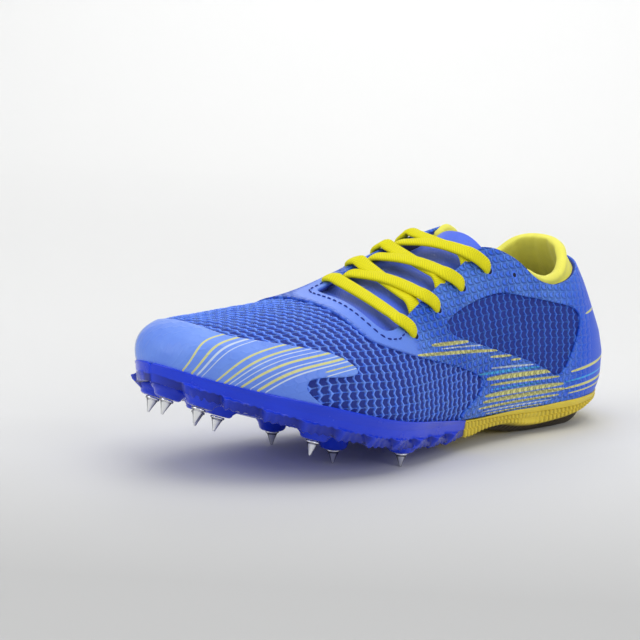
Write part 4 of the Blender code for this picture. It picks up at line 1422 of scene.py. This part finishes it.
tongue_piece = tongue()
tongue_piece.data.materials.append(tongue_cloth())
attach(tongue_piece, "root")
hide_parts("tongue")
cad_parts["insole"].data.materials.clear()
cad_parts["insole"].data.materials.append(insole_cloth())


# Spike plate
# A stiff glossy nylon plate under the forefoot: a smooth band round the foot, a row of
# wedges with a toothed lower edge, ribs under the foot, and a round pod for each pin.
GAP = 0.0003
SOLE_SPLIT = 0.455
PLATE_THICKNESS = 0.0082
PLATE_OUTSET = 0.0014
TOOTH_DEPTH = 0.0013
TOOTH_PITCH = 0.0034
WEDGE_PITCH = 0.0165
WEDGE_DEPTH = 0.0040
WEDGE_DROP = 0.0020
LIP_ROOT = 0.0012
PLATE_LIP = (
    # station, height
    (0.455, 0.0004),
    (0.500, 0.0016),
    (0.560, 0.0030),
    (0.650, 0.0040),
    (0.750, 0.0046),
    (0.820, 0.0044),
    (0.880, 0.0034),
    (0.930, 0.0020),
    (0.970, 0.0009),
    (1.000, 0.0012),
)
PLATE_BAND = (
    # share down the side, share of the outset
    (0.00, 1.15),
    (0.12, 1.10),
    (0.34, 0.95),
    (1.00, 0.50),
)
WEDGE_FACE = (
    # share down the side, share of the wedge's depth
    (0.36, 1.00),
    (0.60, 0.75),
    (0.95, -0.35),
    (1.00, -0.80),
)
WEDGE_SHADE = (
    # share down the side, shade
    (0.40, 1.0),
    (0.70, 0.8),
    (1.00, 0.9),
)
UNDERSIDE_INSET = 0.0045
RIB_PITCH = 0.0085
RIB_DEPTH = 0.0009
PLATE_STEP = 0.00075
PLATE_BLUE = (0.006, 0.040, 0.66)
# Painted shade for the wedges' hollows and the inset edge underneath.
PLATE_SHADE = (0.001, 0.003, 0.09)
PIN_LENGTH = 0.0065
BOSS_RADIUS = 0.0062
BOSS_FOOT = 0.0084
BOSS_HEIGHT = 0.0030
POD_EDGE = (
    # radius beyond the pod's, height
    (-0.0019, 0.0),
    (-0.0010, -0.0002),
    (-0.0003, -0.0008),
    (0.0000, -0.0017),
)
PINS = (
    # station, across, on floor
    (0.940, -0.270, False),
    (0.958, -0.120, False),
    (0.810, -0.375, False),
    (0.952, 0.070, False),
    (0.875, -0.045, False),
    (0.680, -0.270, True),
    (0.797, 0.335, False),
    (0.695, 0.175, True),
    (0.620, 0.400, True),
)


def feather_edge(station, side):
    """The feather edge in plan with its outward normal and the way run along it."""
    edge = last_at_height(station, np.zeros_like(station), side)
    ahead = np.gradient(edge[:, :2], axis=0)
    size = np.maximum(np.linalg.norm(ahead, axis=1, keepdims=True), 1e-9)
    ahead = ahead / size
    normal = np.stack([-ahead[:, 1], ahead[:, 0]], -1) * side
    way = run_along(edge[:, :2])
    return edge, normal, way


def sole_loft(name, station, lip, side_profile, under_profile, columns):
    """A sole as rings of points along the stations, with a shade value for its dark hollows.

    A ring starts inside the wall, climbs behind the upper, turns over the lip and runs down
    the outer side, across underneath, up the inner side and back over the top. side_profile
    gives outset and drop for the ways run along an edge, and under_profile the extra drop at
    points in plan.
    """
    lip = np.minimum(read_table(lip, 1, station), ridge_height(station) * 0.6)
    sides, shades = [], []
    for side in (1.0, -1.0):
        edge, normal, way = feather_edge(station, side)
        rows = [np.column_stack([edge[:, :2] - normal * LIP_ROOT, feather(station) - GAP])]
        for share, offset in ((0.90, -0.0005), (0.97, FILM_TOP + 0.0001), (1.0, FILM_TOP + 0.0004),
                              (0.93, FILM_TOP + 0.0007), (0.6, FILM_TOP + 0.0008), (0.3, FILM_TOP + 0.0008)):
            spot = last_at_height(station, lip * share, side)
            rows.append(np.column_stack([spot[:, :2] + normal * offset, spot[:, 2]]))
        outset, drop, shade = side_profile(station, way)
        flat = edge[:, None, :2] + normal[:, None, :] * outset[..., None]
        body = np.dstack([flat, feather(station)[:, None] - drop])
        sides.append(np.concatenate([np.stack(rows, 1), body], 1))
        shades.append(np.hstack([np.zeros((len(station), len(rows))), shade]))
    outer, inner = sides
    share = np.linspace(0, 1, columns + 2)[1:-1]
    under = outer[:, -1:, :] * (1 - share[None, :, None]) + inner[:, -1:, :] * share[None, :, None]
    under[..., 2] -= under_profile(under)
    top = inner[:, :1, :] * (1 - share[None, ::8, None]) + outer[:, :1, :] * share[None, ::8, None]
    rings = np.concatenate([outer, under, inner[:, ::-1], top], 1)
    rows, count = rings.shape[:2]
    blank = [np.zeros(part.shape[:2]) for part in (under, top)]
    shade = np.concatenate([shades[0], blank[0], shades[1][:, ::-1], blank[1]], 1).ravel()
    quads = grid_quads(rows, count, wrap_columns=True)
    made = build_mesh(name, rings.reshape(-1, 3), quads, {"shade": shade}, merge=SEAM)
    return close_mesh(made)


def plate_side(station, way):
    """Outset, drop and shade down the plate's side: a smooth band, then wedges over fine teeth.

    Each wedge is a ledge that grows along a saw-tooth of the way along the edge, then ends in
    a step, and its face falls back in towards the foot. The teeth are a triangle wave.
    """
    rows = np.linspace(0, 1, 40)
    saw = (way / WEDGE_PITCH) % 1.0
    wedge = np.minimum(saw / 0.86, (1 - saw) / 0.14)
    teeth = np.abs((way / TOOTH_PITCH) % 1.0 - 0.5) * 2
    fade = np.clip((station - SOLE_SPLIT) / 0.03, 0, 1) * np.clip((1.0 - station) / 0.03, 0, 1)
    start = 0.36 + 0.12 * (1 - wedge[:, None])
    below = (rows[None, :] - start) / 0.07
    ledge = np.clip(below, 0, 1) * read_straight(WEDGE_FACE, rows)
    band = read_straight(PLATE_BAND, rows)
    outset = PLATE_OUTSET * band[None, :] + WEDGE_DEPTH * (wedge[:, None] - 0.25) * ledge * fade[:, None]
    depth = PLATE_THICKNESS - 0.0012 + (WEDGE_DROP * wedge + TOOTH_DEPTH * teeth) * fade
    drop = GAP + rows[None, :] * (depth - GAP)[:, None]
    # Painted shade: dark in the hollow after each wedge's step, and full on the inset edge underneath.
    hollow = np.clip(below - 0.3, 0, 1) * (1 - wedge[:, None]) ** 0.6 * read_straight(WEDGE_SHADE, rows)
    last_row = np.full((len(station), 1), -UNDERSIDE_INSET)
    floor = np.full((len(station), 1), GAP + PLATE_THICKNESS * 0.92)
    return np.hstack([outset, last_row]), np.hstack([drop, floor]), np.hstack([hollow, np.ones_like(floor)])


def plate_under(points):
    """Low ribs that sweep across the plate as chevrons: a smooth wave of y bent by |x|."""
    bent = points[..., 1] + 0.35 * np.abs(points[..., 0] - 0.004)
    wave = np.sin(bent / RIB_PITCH * 2 * math.pi)
    return RIB_DEPTH * np.clip(wave * 2.5, -1, 1)


def turned(profile, segments, place, axis):
    """A turned shape: a profile of radius and height about an axis that starts at a place."""
    profile = np.asarray(profile, float)
    angle = np.linspace(0, 2 * math.pi, segments, endpoint=False)
    axis = np.asarray(axis, float) / np.linalg.norm(axis)
    first = np.cross(axis, (0, 1.0, 0))
    first /= np.linalg.norm(first)
    second = np.cross(axis, first)
    spoke = np.cos(angle)[:, None] * first + np.sin(angle)[:, None] * second
    points = (np.asarray(place) + profile[:, None, :1] * spoke[None] + profile[:, None, 1:] * axis)
    return points.reshape(-1, 3), grid_quads(len(profile), segments, wrap_columns=True)


def pin_seats():
    """For each pin: the underside of its pod, the way down out of it and the pod's height."""
    seats = []
    for station, across, on_floor in PINS:
        slope = float(feather(station + 0.01) - feather(station - 0.01)) / (0.02 * LENGTH)
        under = float(feather(station)) - GAP - PLATE_THICKNESS
        axis = np.array((0, 0, 1.0)) if on_floor else np.array((0, slope, 1)) / math.hypot(slope, 1)
        height = under - PIN_LENGTH - GAP if on_floor else BOSS_HEIGHT
        root = np.array((across * BALL_WIDTH, float(along(station)), under))
        seats.append((root - axis * height, -axis, height))
    return seats


def joined_turnings(name, profiles, segments, seats):
    """Several turned shapes in one mesh."""
    points, quads, count = [], [], 0
    for profile, (place, axis) in zip(profiles, seats):
        more, faces = turned(profile, segments, place, axis)
        points.append(more)
        quads.append(faces + count)
        count += len(more)
    made = build_mesh(name, np.vstack(points), np.vstack(quads), merge=0.00001)
    return close_mesh(made, caps=False)


def glossy_nylon():
    """Deep blue moulded nylon: glossy, with faint flow marks and scuffs, and painted shade in the wedges'
    hollows and on the inset edge underneath.
    """
    finish, tree, shader = paint("glossy nylon")
    hollow = compute(tree, "MULTIPLY", attribute(tree, "shade").outputs["Fac"], 0.9)
    tone = mix_colours(tree, cloudy(tree, PLATE_BLUE, 0.9, 1.3, 40), PLATE_SHADE, hollow)
    tree.links.new(tone, shader.inputs["Base Color"])
    rough = ramp_between(tree, noise(tree, 180, 4.0), 0.2, 0.9)
    tree.links.new(compute(tree, "MULTIPLY_ADD", rough, 0.18, 0.14), shader.inputs["Roughness"])
    shader.inputs["Specular IOR Level"].default_value = 0.32
    shader.inputs["Coat Weight"].default_value = 0.22
    shader.inputs["Coat Roughness"].default_value = 0.08
    bump(tree, shader, noise(tree, 500, 3.0), 0.0001, 0.2)
    return finish


GLOSSY_NYLON = glossy_nylon()
plate_stations = spaced_stations(SOLE_SPLIT + GAP / LENGTH, 1.0, PLATE_STEP)
plate = sole_loft("forefoot_plate", plate_stations, PLATE_LIP, plate_side, plate_under, 56)
plate.data.materials.append(GLOSSY_NYLON)
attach(plate, "root")
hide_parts("spike_plate")

pod_profiles = []
for _, _, pod_height in pin_seats():
    reach = pod_height + PLATE_THICKNESS / 2
    pod_edge = [(BOSS_RADIUS + beyond, height) for beyond, height in POD_EDGE]
    pod_side = [(BOSS_RADIUS + 0.0007, -pod_height * 0.6 - 0.0006), (BOSS_FOOT, -pod_height - 0.0006)]
    pod_profiles.append([(0, 0.0)] + pod_edge + pod_side + [(BOSS_FOOT, -reach), (0, -reach)])
pods = joined_turnings("pin_pods", pod_profiles, 40, [(place, axis) for place, axis, _ in pin_seats()])
pods.data.materials.append(GLOSSY_NYLON)
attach(pods, "root")


# Heel sole
# One moulded piece of yellow rubber from the arch to the back of the heel: a smooth lip, a
# knurled band, a stepped foot with a serrated edge, and a raised tail behind.
HEEL_OUTSET = 0.0016
HEEL_STEP = 0.0009
HEEL_TAIL = 0.0012
TAIL_REACH = 0.06
KNURL_PITCH = 0.0030
KNURL_DEPTH = 0.0021
HOLLOW_PLACE = 0.255
HOLLOW_REACH = 0.05
HOLLOW_DEPTH = 0.0013
HEEL_PITCH = 0.00050
HEEL_LIP = (
    # station, height
    (0.000, 0.0015),
    (0.043, 0.0018),
    (0.098, 0.0030),
    (0.178, 0.0031),
    (0.247, 0.0020),
    (0.317, 0.0016),
    (0.371, 0.0008),
    (0.416, 0.0002),
    (0.455, 0.0002),
)
HEEL_BRIM = (
    # station, height of the visible lower edge
    (0.000, 0.0113),
    (0.045, 0.0109),
    (0.070, 0.0105),
    (0.117, 0.0085),
    (0.146, 0.0075),
    (0.174, 0.0067),
    (0.207, 0.0060),
    (0.240, 0.0055),
    (0.280, 0.0066),
    (0.317, 0.0084),
    (0.358, 0.0087),
    (0.396, 0.0080),
    (0.430, 0.0067),
    (0.455, 0.0066),
)
HEEL_STEPS = (
    # share down the side, steps inwards
    (0.00, 0.00),
    (0.02, 0.00),
    (0.07, 0.90),
    (0.12, 0.45),
    (0.44, 0.35),
    (0.50, 0.95),
    (0.57, 0.60),
    (0.90, 0.75),
    (1.00, 1.30),
)
KNURL_BAND = (
    # share down the side, share of the knurl
    (0.04, 0),
    (0.10, 1),
    (0.45, 1),
    (0.51, 0),
)
FOOT_TEETH = (
    # share down the side, share of the knurl
    (0.51, 0.0),
    (0.60, 0.8),
    (1.00, 1.2),
)
RUBBER_YELLOW = (0.80, 0.62, 0.045)
# Painted shade for the knurl's grooves and the undercut.
RUBBER_SHADE = (0.030, 0.018, 0.004)
HEEL_UNDERSIDE = (
    # station, height
    (0.000, 0.86),
    (0.020, 0.52),
    (0.045, 0.24),
    (0.075, 0.05),
    (0.100, 0.00),
    (0.220, 0.00),
    (0.270, 0.08),
    (0.330, 0.34),
    (0.390, 0.50),
    (0.455, 0.55),
)


def heel_side(station, way):
    """Outset, drop and painted shade down the heel's side: lip, knurled row, groove, foot and undercut.

    The knurl is a rounded wave of the way along the edge, and the foot's edge is cut into
    teeth of the same pitch. The foot fades into a smooth hollow near the middle of the arch.
    """
    rows = np.linspace(0, 1, 40)
    step = read_straight(HEEL_STEPS, rows)
    knurl = np.abs(np.sin(way / KNURL_PITCH * math.pi)) ** 0.8
    banded = read_straight(KNURL_BAND, rows)
    footed = read_straight(FOOT_TEETH, rows)
    hollow = ease(np.clip(1 - np.abs(station - HOLLOW_PLACE) / HOLLOW_REACH, 0, 1))
    ridges = (banded + footed)[None, :] * (knurl - 0.7)[:, None] * (1 - hollow)[:, None]
    outset = HEEL_OUTSET - HEEL_STEP * step[None, :] + KNURL_DEPTH * ridges
    outset = outset - HOLLOW_DEPTH * hollow[:, None] * np.interp(rows, [0.2, 0.6, 1.0], [0, 1, 0.5])[None, :]
    outset = outset + (HEEL_TAIL * np.clip(1 - station / TAIL_REACH, 0, 1))[:, None]
    brim = read_table(HEEL_BRIM, 1, station)
    under = read_straight(HEEL_UNDERSIDE, station) * HEEL_STACK
    side_depth = feather(station) - np.maximum(brim, under) - 0.0006 * (1 - knurl)
    drop = GAP + rows[None, :] * (side_depth - GAP)[:, None]
    full_depth = feather(station) - under
    inset = np.interp(station, [0, 0.05, 0.12], [0.5, 0.8, 1.0])
    cut = np.stack([-0.0045 * inset, -0.0075 * inset, -0.0090 * inset], -1)
    fall = np.stack([side_depth * 0.6 + full_depth * 0.4, side_depth * 0.15 + full_depth * 0.85,
                     full_depth], -1)
    groove = banded[None, :] * (1 - knurl)[:, None] * (1 - hollow[:, None] * 0.7)
    groove = np.maximum(groove, footed[None, :] * (1 - knurl)[:, None] * (1 - hollow[:, None]))
    # Painted shade: partly dark in the grooves, fully dark on the undercut.
    shade = np.hstack([np.clip(groove, 0, 1) * 0.72, np.ones_like(cut)])
    return np.hstack([outset, cut]), np.hstack([drop, fall]), shade


def heel_under(points):
    """Shallow cross grooves in the tread, cut upwards so that the flat spot keeps its height."""
    return -0.0007 * (np.sin(points[..., 1] / 0.0075 * 2 * math.pi) > 0.55)


def moulded_rubber():
    """Yellow rubber: matt, with painted shade in the knurl's grooves and on the undercut, and a fine moulded
    grain.
    """
    finish, tree, shader = paint("moulded rubber")
    tone = cloudy(tree, RUBBER_YELLOW, 0.85, 1.12, 70, 4.0)
    tone = mix_colours(tree, tone, RUBBER_SHADE, attribute(tree, "shade").outputs["Fac"])
    tree.links.new(tone, shader.inputs["Base Color"])
    shader.inputs["Roughness"].default_value = 0.5
    bump(tree, shader, noise(tree, 1400, 2.0), 0.00012, 0.35)
    return finish


heel = sole_loft("heel_rubber", spaced_stations(0.0, SOLE_SPLIT - GAP / LENGTH, HEEL_PITCH), HEEL_LIP,
                 heel_side, heel_under, 40)
heel.data.materials.append(moulded_rubber())
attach(heel, "root")
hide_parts("heel_sole")


# Pins
# Nine screw-in steel pins: a round flange with a wrench edge and a polished, slightly hollow
# cone with a small blunt tip. Three of them carry the forefoot.
PIN_RADIUS = 0.0025
PIN_TIP = 0.0005
FLANGE_RADIUS = 0.0031
FLANGE_THICKNESS = 0.0010
# The steel's colour face on, and the painted dark reflection where it turns away from the eye.
STEEL_BRIGHT = (0.95, 0.96, 0.97)
STEEL_EDGE_SHADE = (0.14, 0.14, 0.16)


def pin_profile():
    """Radius and height of a pin: flange, neck, and a cone that narrows by a power of its length."""
    drop = np.linspace(0, 1, 12)
    cone = PIN_TIP + (PIN_RADIUS * 0.95 - PIN_TIP) * (1 - drop) ** 1.12
    start = FLANGE_THICKNESS * 1.4
    flange = [(0, 0), (FLANGE_RADIUS - 0.0002, 0), (FLANGE_RADIUS, 0.0002),
              (FLANGE_RADIUS, FLANGE_THICKNESS - 0.0002), (FLANGE_RADIUS - 0.0002, FLANGE_THICKNESS),
              (PIN_RADIUS, FLANGE_THICKNESS), (PIN_RADIUS, start)]
    spike = [(radius, start + (PIN_LENGTH - start) * share) for radius, share in zip(cone, drop)]
    return flange + spike + [(PIN_TIP * 0.6, PIN_LENGTH), (0, PIN_LENGTH)]


def polished_steel():
    """Polished steel with a painted reflection: its colour is darker where it turns away from the eye. It has
    an uneven haze.
    """
    finish, tree, shader = paint("polished steel")
    facing_share = tree.nodes.new("ShaderNodeLayerWeight")
    facing_share.inputs["Blend"].default_value = 0.5
    edge = ramp_between(tree, facing_share.outputs["Facing"], 0.25, 0.62)
    tone = mix_colours(tree, STEEL_BRIGHT, STEEL_EDGE_SHADE, edge)
    tree.links.new(tone, shader.inputs["Base Color"])
    shader.inputs["Metallic"].default_value = 1.0
    rough = ramp_between(tree, noise(tree, 900, 3.0), 0.2, 0.8)
    tree.links.new(compute(tree, "MULTIPLY_ADD", rough, 0.14, 0.10), shader.inputs["Roughness"])
    return finish


POLISHED_STEEL = polished_steel()
for number, (place, axis, _) in enumerate(pin_seats(), 1):
    pin = joined_turnings(f"pin_{number}", [pin_profile()], 36, [(place + axis * GAP, axis)])
    pin.data.materials.append(POLISHED_STEEL)
    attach(pin, "root")
    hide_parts(f"spike_{number}")


# Lace and eyelets
# One flat woven yellow lace. Its bar crosses at the front, and each end then comes out from
# under the throat's edge and crosses to the next hole of the other side, going in from
# outside. The holes are punched in the film and have no metal rings.
LACE_WIDTH = 0.0074
LACE_THICKNESS = 0.0026
LACE_STEP = 0.0095
LACE_PITCH = 0.0008
LACE_RING = 24
LACE_YELLOW = (0.95, 0.88, 0.010)
HOLE_RADIUS = 0.0019
RIM_SETBACK = 0.0018
RIM_LIFT = 0.0019
RIM_SHARE = 0.45
EYELETS = (
    # lateral station, lateral place, medial station, medial place
    (0.600, 0.385, 0.620, -0.130),
    (0.518, 0.312, 0.555, -0.165),
    (0.440, 0.262, 0.490, -0.185),
    (0.366, 0.238, 0.425, -0.205),
)
SPARE_HOLE = (0.306, 41.1)
SPARE_RADIUS = 0.0011
HOLE_STOPS = (
    # way past the hole's middle, lift, share of the width
    (-0.0050, 0.0016, 1.00),
    (-0.0023, 0.0011, 0.94),
    (-0.0007, -0.0004, 0.78),
    (-0.0001, -0.0030, 0.58),
)
HOLE_RIM = (
    # radius beyond the hole's, height
    (0.0000, 0.00002),
    (0.0001, 0.00012),
    (0.0004, 0.00018),
    (0.0008, 0.00010),
    (0.0011, -0.00020),
)
# Painted shade in the holes' dishes: a darker and a paler tone, mixed by noise.
HOLE_SHADE = (0.001, 0.002, 0.012)
HOLE_SHADE_PALE = (0.006, 0.010, 0.05)
TURNING_SIDES = 28
BAR_RIMS = (
    # side, stations ahead of its hole
    (-1, 0.006),
    (1, 0.026),
)
BAR_BOW = 0.0006
BOW_SHARES = (0.12, 0.3, 0.5, 0.7, 0.88)
STRANDS = (
    # side of its start, layer, bow
    (1, "under", 0.0000),
    (-1, "over", 0.0020),
)


def eyelet(index, side):
    """Station and distance across of an eyelet. side is 1 for outer and -1 for inner."""
    row = EYELETS[index][:2] if side > 0 else EYELETS[index][2:]
    return row[0], row[1] * BALL_WIDTH


def edge_across(station, side):
    """Distance across of the throat's edge."""
    return float(read_table(THROAT, 1 if side > 0 else 2, station)) * BALL_WIDTH


def crossing_stops(start, end, side, start_lift):
    """Stops of a strand from inside the throat's edge on one side to the other side's eyelet:
    station, distance across, lift over the last, share of the full width."""
    s0, x0 = start
    turn = end[0] + (s0 - end[0]) * RIM_SHARE
    rim = edge_across(turn, -side) + side * RIM_SETBACK
    return [(s0, x0, start_lift, 1.0), (turn, rim, FILM_TOP + RIM_LIFT, 1.0)] + hole_stops((turn, rim), end)


def hole_stops(before, eye):
    """Stops that lead over the film to an eyelet and dive into it, still heading the same way."""
    heading = np.array(((eye[0] - before[0]) * LENGTH, eye[1] - before[1]))
    heading /= np.linalg.norm(heading)
    stops = []
    for run, lift, narrow in HOLE_STOPS:
        stops.append((eye[0] + heading[0] * run / LENGTH, eye[1] + heading[1] * run, FILM_TOP + lift, narrow))
    return stops


def smooth_path(stops, pitch):
    """A smooth curve through rows of numbers, with the chord between rows as its run, read at
    even steps of the way along it."""
    stops = np.asarray(stops, float)
    rows = np.column_stack([run_along(stops[:, :3]), stops])
    run = np.linspace(0, rows[-1, 0], 600)
    fine = np.stack([read_table(rows, column, run) for column in range(1, rows.shape[1])], 1)
    way = run_along(fine[:, :3])
    even = np.linspace(0, way[-1], max(8, int(way[-1] / pitch)))
    return np.stack([np.interp(even, way, fine[:, k]) for k in range(fine.shape[1])], 1), even


def lace_strand(name, rows, rims, bow):
    """A flat woven strip carried along a path.

    rows hold a point, the way up there and the share of the full width. Between the two rows
    numbered in rims the strip hangs free and nearly straight, bowed up by a sine. A ring is a
    superellipse, LACE_WIDTH wide and LACE_THICKNESS thick.
    """
    first, last = np.asarray(rows[rims[0]]), np.asarray(rows[rims[1]])
    free = []
    for share in BOW_SHARES:
        row = first + (last - first) * share
        row[2] += bow * math.sin(math.pi * share)
        free.append(row)
    path, way = smooth_path(rows[:rims[0] + 1] + free + rows[rims[1]:], LACE_PITCH)
    spot, up, narrow = path[:, :3], path[:, 3:6], path[:, 6]
    up = up / np.linalg.norm(up, axis=1, keepdims=True)
    ahead = np.gradient(spot, axis=0)
    ahead /= np.linalg.norm(ahead, axis=1, keepdims=True)
    wide = np.cross(ahead, up)
    wide /= np.linalg.norm(wide, axis=1, keepdims=True)
    up = np.cross(wide, ahead)
    turn = np.linspace(0, 2 * math.pi, LACE_RING, endpoint=False)
    across = blunted(np.cos(turn), 0.8)
    above = blunted(np.sin(turn), 0.75)
    crowd = 1 + (1 - narrow) * 0.8
    points = (spot[:, None] + wide[:, None] * (across[None, :, None] * LACE_WIDTH / 2 * narrow[:, None, None])
              + up[:, None] * (above[None, :, None] * LACE_THICKNESS / 2 * crowd[:, None, None]))
    cloth = (way[:, None], across[None, :] * LACE_WIDTH / 2, above[None, :] * 0.001)
    cloth = np.stack(np.broadcast_arrays(*cloth), -1)
    made = build_mesh(name, points.reshape(-1, 3), grid_quads(len(path), LACE_RING, wrap_columns=True),
                      {"cloth": cloth.reshape(-1, 3)})
    return close_mesh(made)


def strand_rows(stops):
    """Turns stops over the last into points, ways up and widths."""
    stops = np.asarray(stops, float)
    spot, normal = over_last(stops[:, 0], stops[:, 1], stops[:, 2])
    return [np.concatenate([p, n, [w]]) for p, n, w in zip(spot, normal, stops[:, 3])]


def woven_lace():
    """Bright yellow woven lace: a chevron of fine threads with darker gaps."""
    finish, tree, shader = paint("woven lace")
    parts = split(tree, attribute(tree, "cloth").outputs["Vector"])
    fold = compute(tree, "ABSOLUTE", parts["Y"])
    slant = compute(tree, "ADD", parts["X"], compute(tree, "MULTIPLY", fold, 0.8))
    ribs = compute(tree, "SINE", compute(tree, "MULTIPLY", slant, 2 * math.pi / 0.0011))
    cords = compute(tree, "SINE", compute(tree, "MULTIPLY", parts["Y"], 2 * math.pi / 0.0009))
    threads = compute(tree, "MULTIPLY_ADD", compute(tree, "MULTIPLY", ribs, cords), 0.5, 0.5)
    tone = mix_colours(tree, shaded(LACE_YELLOW, 0.72), LACE_YELLOW, threads)
    tree.links.new(tone, shader.inputs["Base Color"])
    shader.inputs["Roughness"].default_value = 0.7
    shader.inputs["Specular IOR Level"].default_value = 0.2
    bump(tree, shader, threads, 0.0003, 0.7)
    return finish


WOVEN_LACE = woven_lace()
bar_rims = []
for side, forward in BAR_RIMS:
    rim_station = eyelet(0, side)[0] + forward
    bar_rims.append((rim_station, edge_across(rim_station, side) - side * RIM_SETBACK))
bar_stops = hole_stops(bar_rims[0], eyelet(0, -1))[::-1]
bar_stops += [(station, across, FILM_TOP + RIM_LIFT, 1.0) for station, across in bar_rims]
bar_stops += hole_stops(bar_rims[1], eyelet(0, 1))
bar = lace_strand("lace_front_bar", strand_rows(bar_stops), (4, 5), BAR_BOW)
bar.data.materials.append(WOVEN_LACE)
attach(bar, "root")
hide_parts("lace_bar")
for index in range(len(EYELETS) - 1):
    for side, layer, bow in STRANDS:
        start_station = eyelet(index, side)[0] - LACE_STEP / LENGTH
        hidden = (start_station + 0.004, edge_across(start_station, side) + side * 0.006, -0.0028, 0.9)
        start = (start_station, edge_across(start_station, side) - side * 0.0035)
        stops = [hidden] + crossing_stops(start, eyelet(index + 1, -side), side, -0.0004)
        strand = lace_strand(f"lace_{layer}_{index + 1}", strand_rows(stops), (1, 2), bow)
        strand.data.materials.append(WOVEN_LACE)
        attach(strand, "root")
        if layer == "over":
            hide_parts(f"lace_cross_{index + 1}")


def punched_holes():
    """Each hole: a dark dish of painted shade standing in for its depth, with a pressed rim of film round it.
    """
    places = [eyelet(index, side) for index in range(len(EYELETS)) for side in (1, -1)]
    places.append((SPARE_HOLE[0], last_at_turn(*np.array(SPARE_HOLE))[0]))
    spots, normals = over_last([p[0] for p in places], [p[1] for p in places], [FILM_TOP] * len(places))
    seats = list(zip(spots, normals))
    rings, dishes = [], []
    for rim in [HOLE_RADIUS] * (len(seats) - 1) + [SPARE_RADIUS]:
        rings.append([(rim + beyond, height) for beyond, height in HOLE_RIM])
        dishes.append([(0, 0.00004), (rim * 0.98, 0.00004)])
    return (joined_turnings("eyelet_rims", rings, TURNING_SIDES, seats),
            joined_turnings("eyelet_hole_shades", dishes, TURNING_SIDES, seats))


hole_rims, hole_dishes = punched_holes()
rim_finish, rim_tree, rim_shader = paint("pressed hole rim")
rim_tone = mix_colours(rim_tree, QUARTER_BLUE, QUARTER_PALE, noise(rim_tree, 400))
rim_tree.links.new(rim_tone, rim_shader.inputs["Base Color"])
rim_shader.inputs["Roughness"].default_value = 0.4
hole_rims.data.materials.append(rim_finish)
# The dish's colour is painted shade, mottled between a darker and a paler tone.
hole_finish, hole_tree, hole_shader = paint("hole shade")
hole_tone = mix_colours(hole_tree, HOLE_SHADE, HOLE_SHADE_PALE, noise(hole_tree, 900))
hole_tree.links.new(hole_tone, hole_shader.inputs["Base Color"])
hole_shader.inputs["Roughness"].default_value = 0.9
hole_dishes.data.materials.append(hole_finish)
for piece in (hole_rims, hole_dishes):
    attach(piece, "root")


# Stitching
# Navy thread in a row of short stitches round the front of the throat. Each is a thin tube
# whose ends dip into the film.
STITCH_LENGTH = 0.0022
STITCH_GAP = 0.0011
STITCH_RADIUS = 0.00038
STITCH_MARGIN = 0.0030
STITCH_SIDES = 8


def stitch_row(name, line):
    """A row of stitches along a line in plan, each lowered to its ends by a fourth power."""
    way = run_along(line)
    starts = np.arange(0, way[-1] - STITCH_LENGTH, STITCH_LENGTH + STITCH_GAP)
    steps = np.linspace(0, 1, 7)
    reads = starts[:, None] + steps[None, :] * STITCH_LENGTH
    x = np.interp(reads, way, line[:, 0])
    y = np.interp(reads, way, line[:, 1])
    lift = FILM_TOP + STITCH_RADIUS * 0.6 - 0.0005 * np.abs(2 * steps - 1) ** 4
    spot, normal = over_last(station_of(y), x, np.broadcast_to(lift, x.shape))
    ahead = np.gradient(spot, axis=1)
    ahead /= np.linalg.norm(ahead, axis=-1, keepdims=True)
    wide = np.cross(ahead, normal)
    turn = np.linspace(0, 2 * math.pi, STITCH_SIDES, endpoint=False)[:, None, None, None]
    ring = (np.cos(turn) * wide + np.sin(turn) * normal) * STITCH_RADIUS
    points = np.moveaxis(spot[None] + ring, 0, 2).reshape(-1, 3)
    faces = grid_quads(len(steps), STITCH_SIDES, wrap_columns=True)
    firsts = np.arange(len(starts)) * len(steps) * STITCH_SIDES
    quads = (faces[None] + firsts[:, None, None]).reshape(-1, 4)
    made = build_mesh(name, points, quads)
    return close_mesh(made)


outline = throat_outline(STITCH_MARGIN)
front_stitches = stitch_row("throat_stitches", outline[21:50])
front_stitches.data.materials.append(NAVY_CLOTH)
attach(front_stitches, "root")
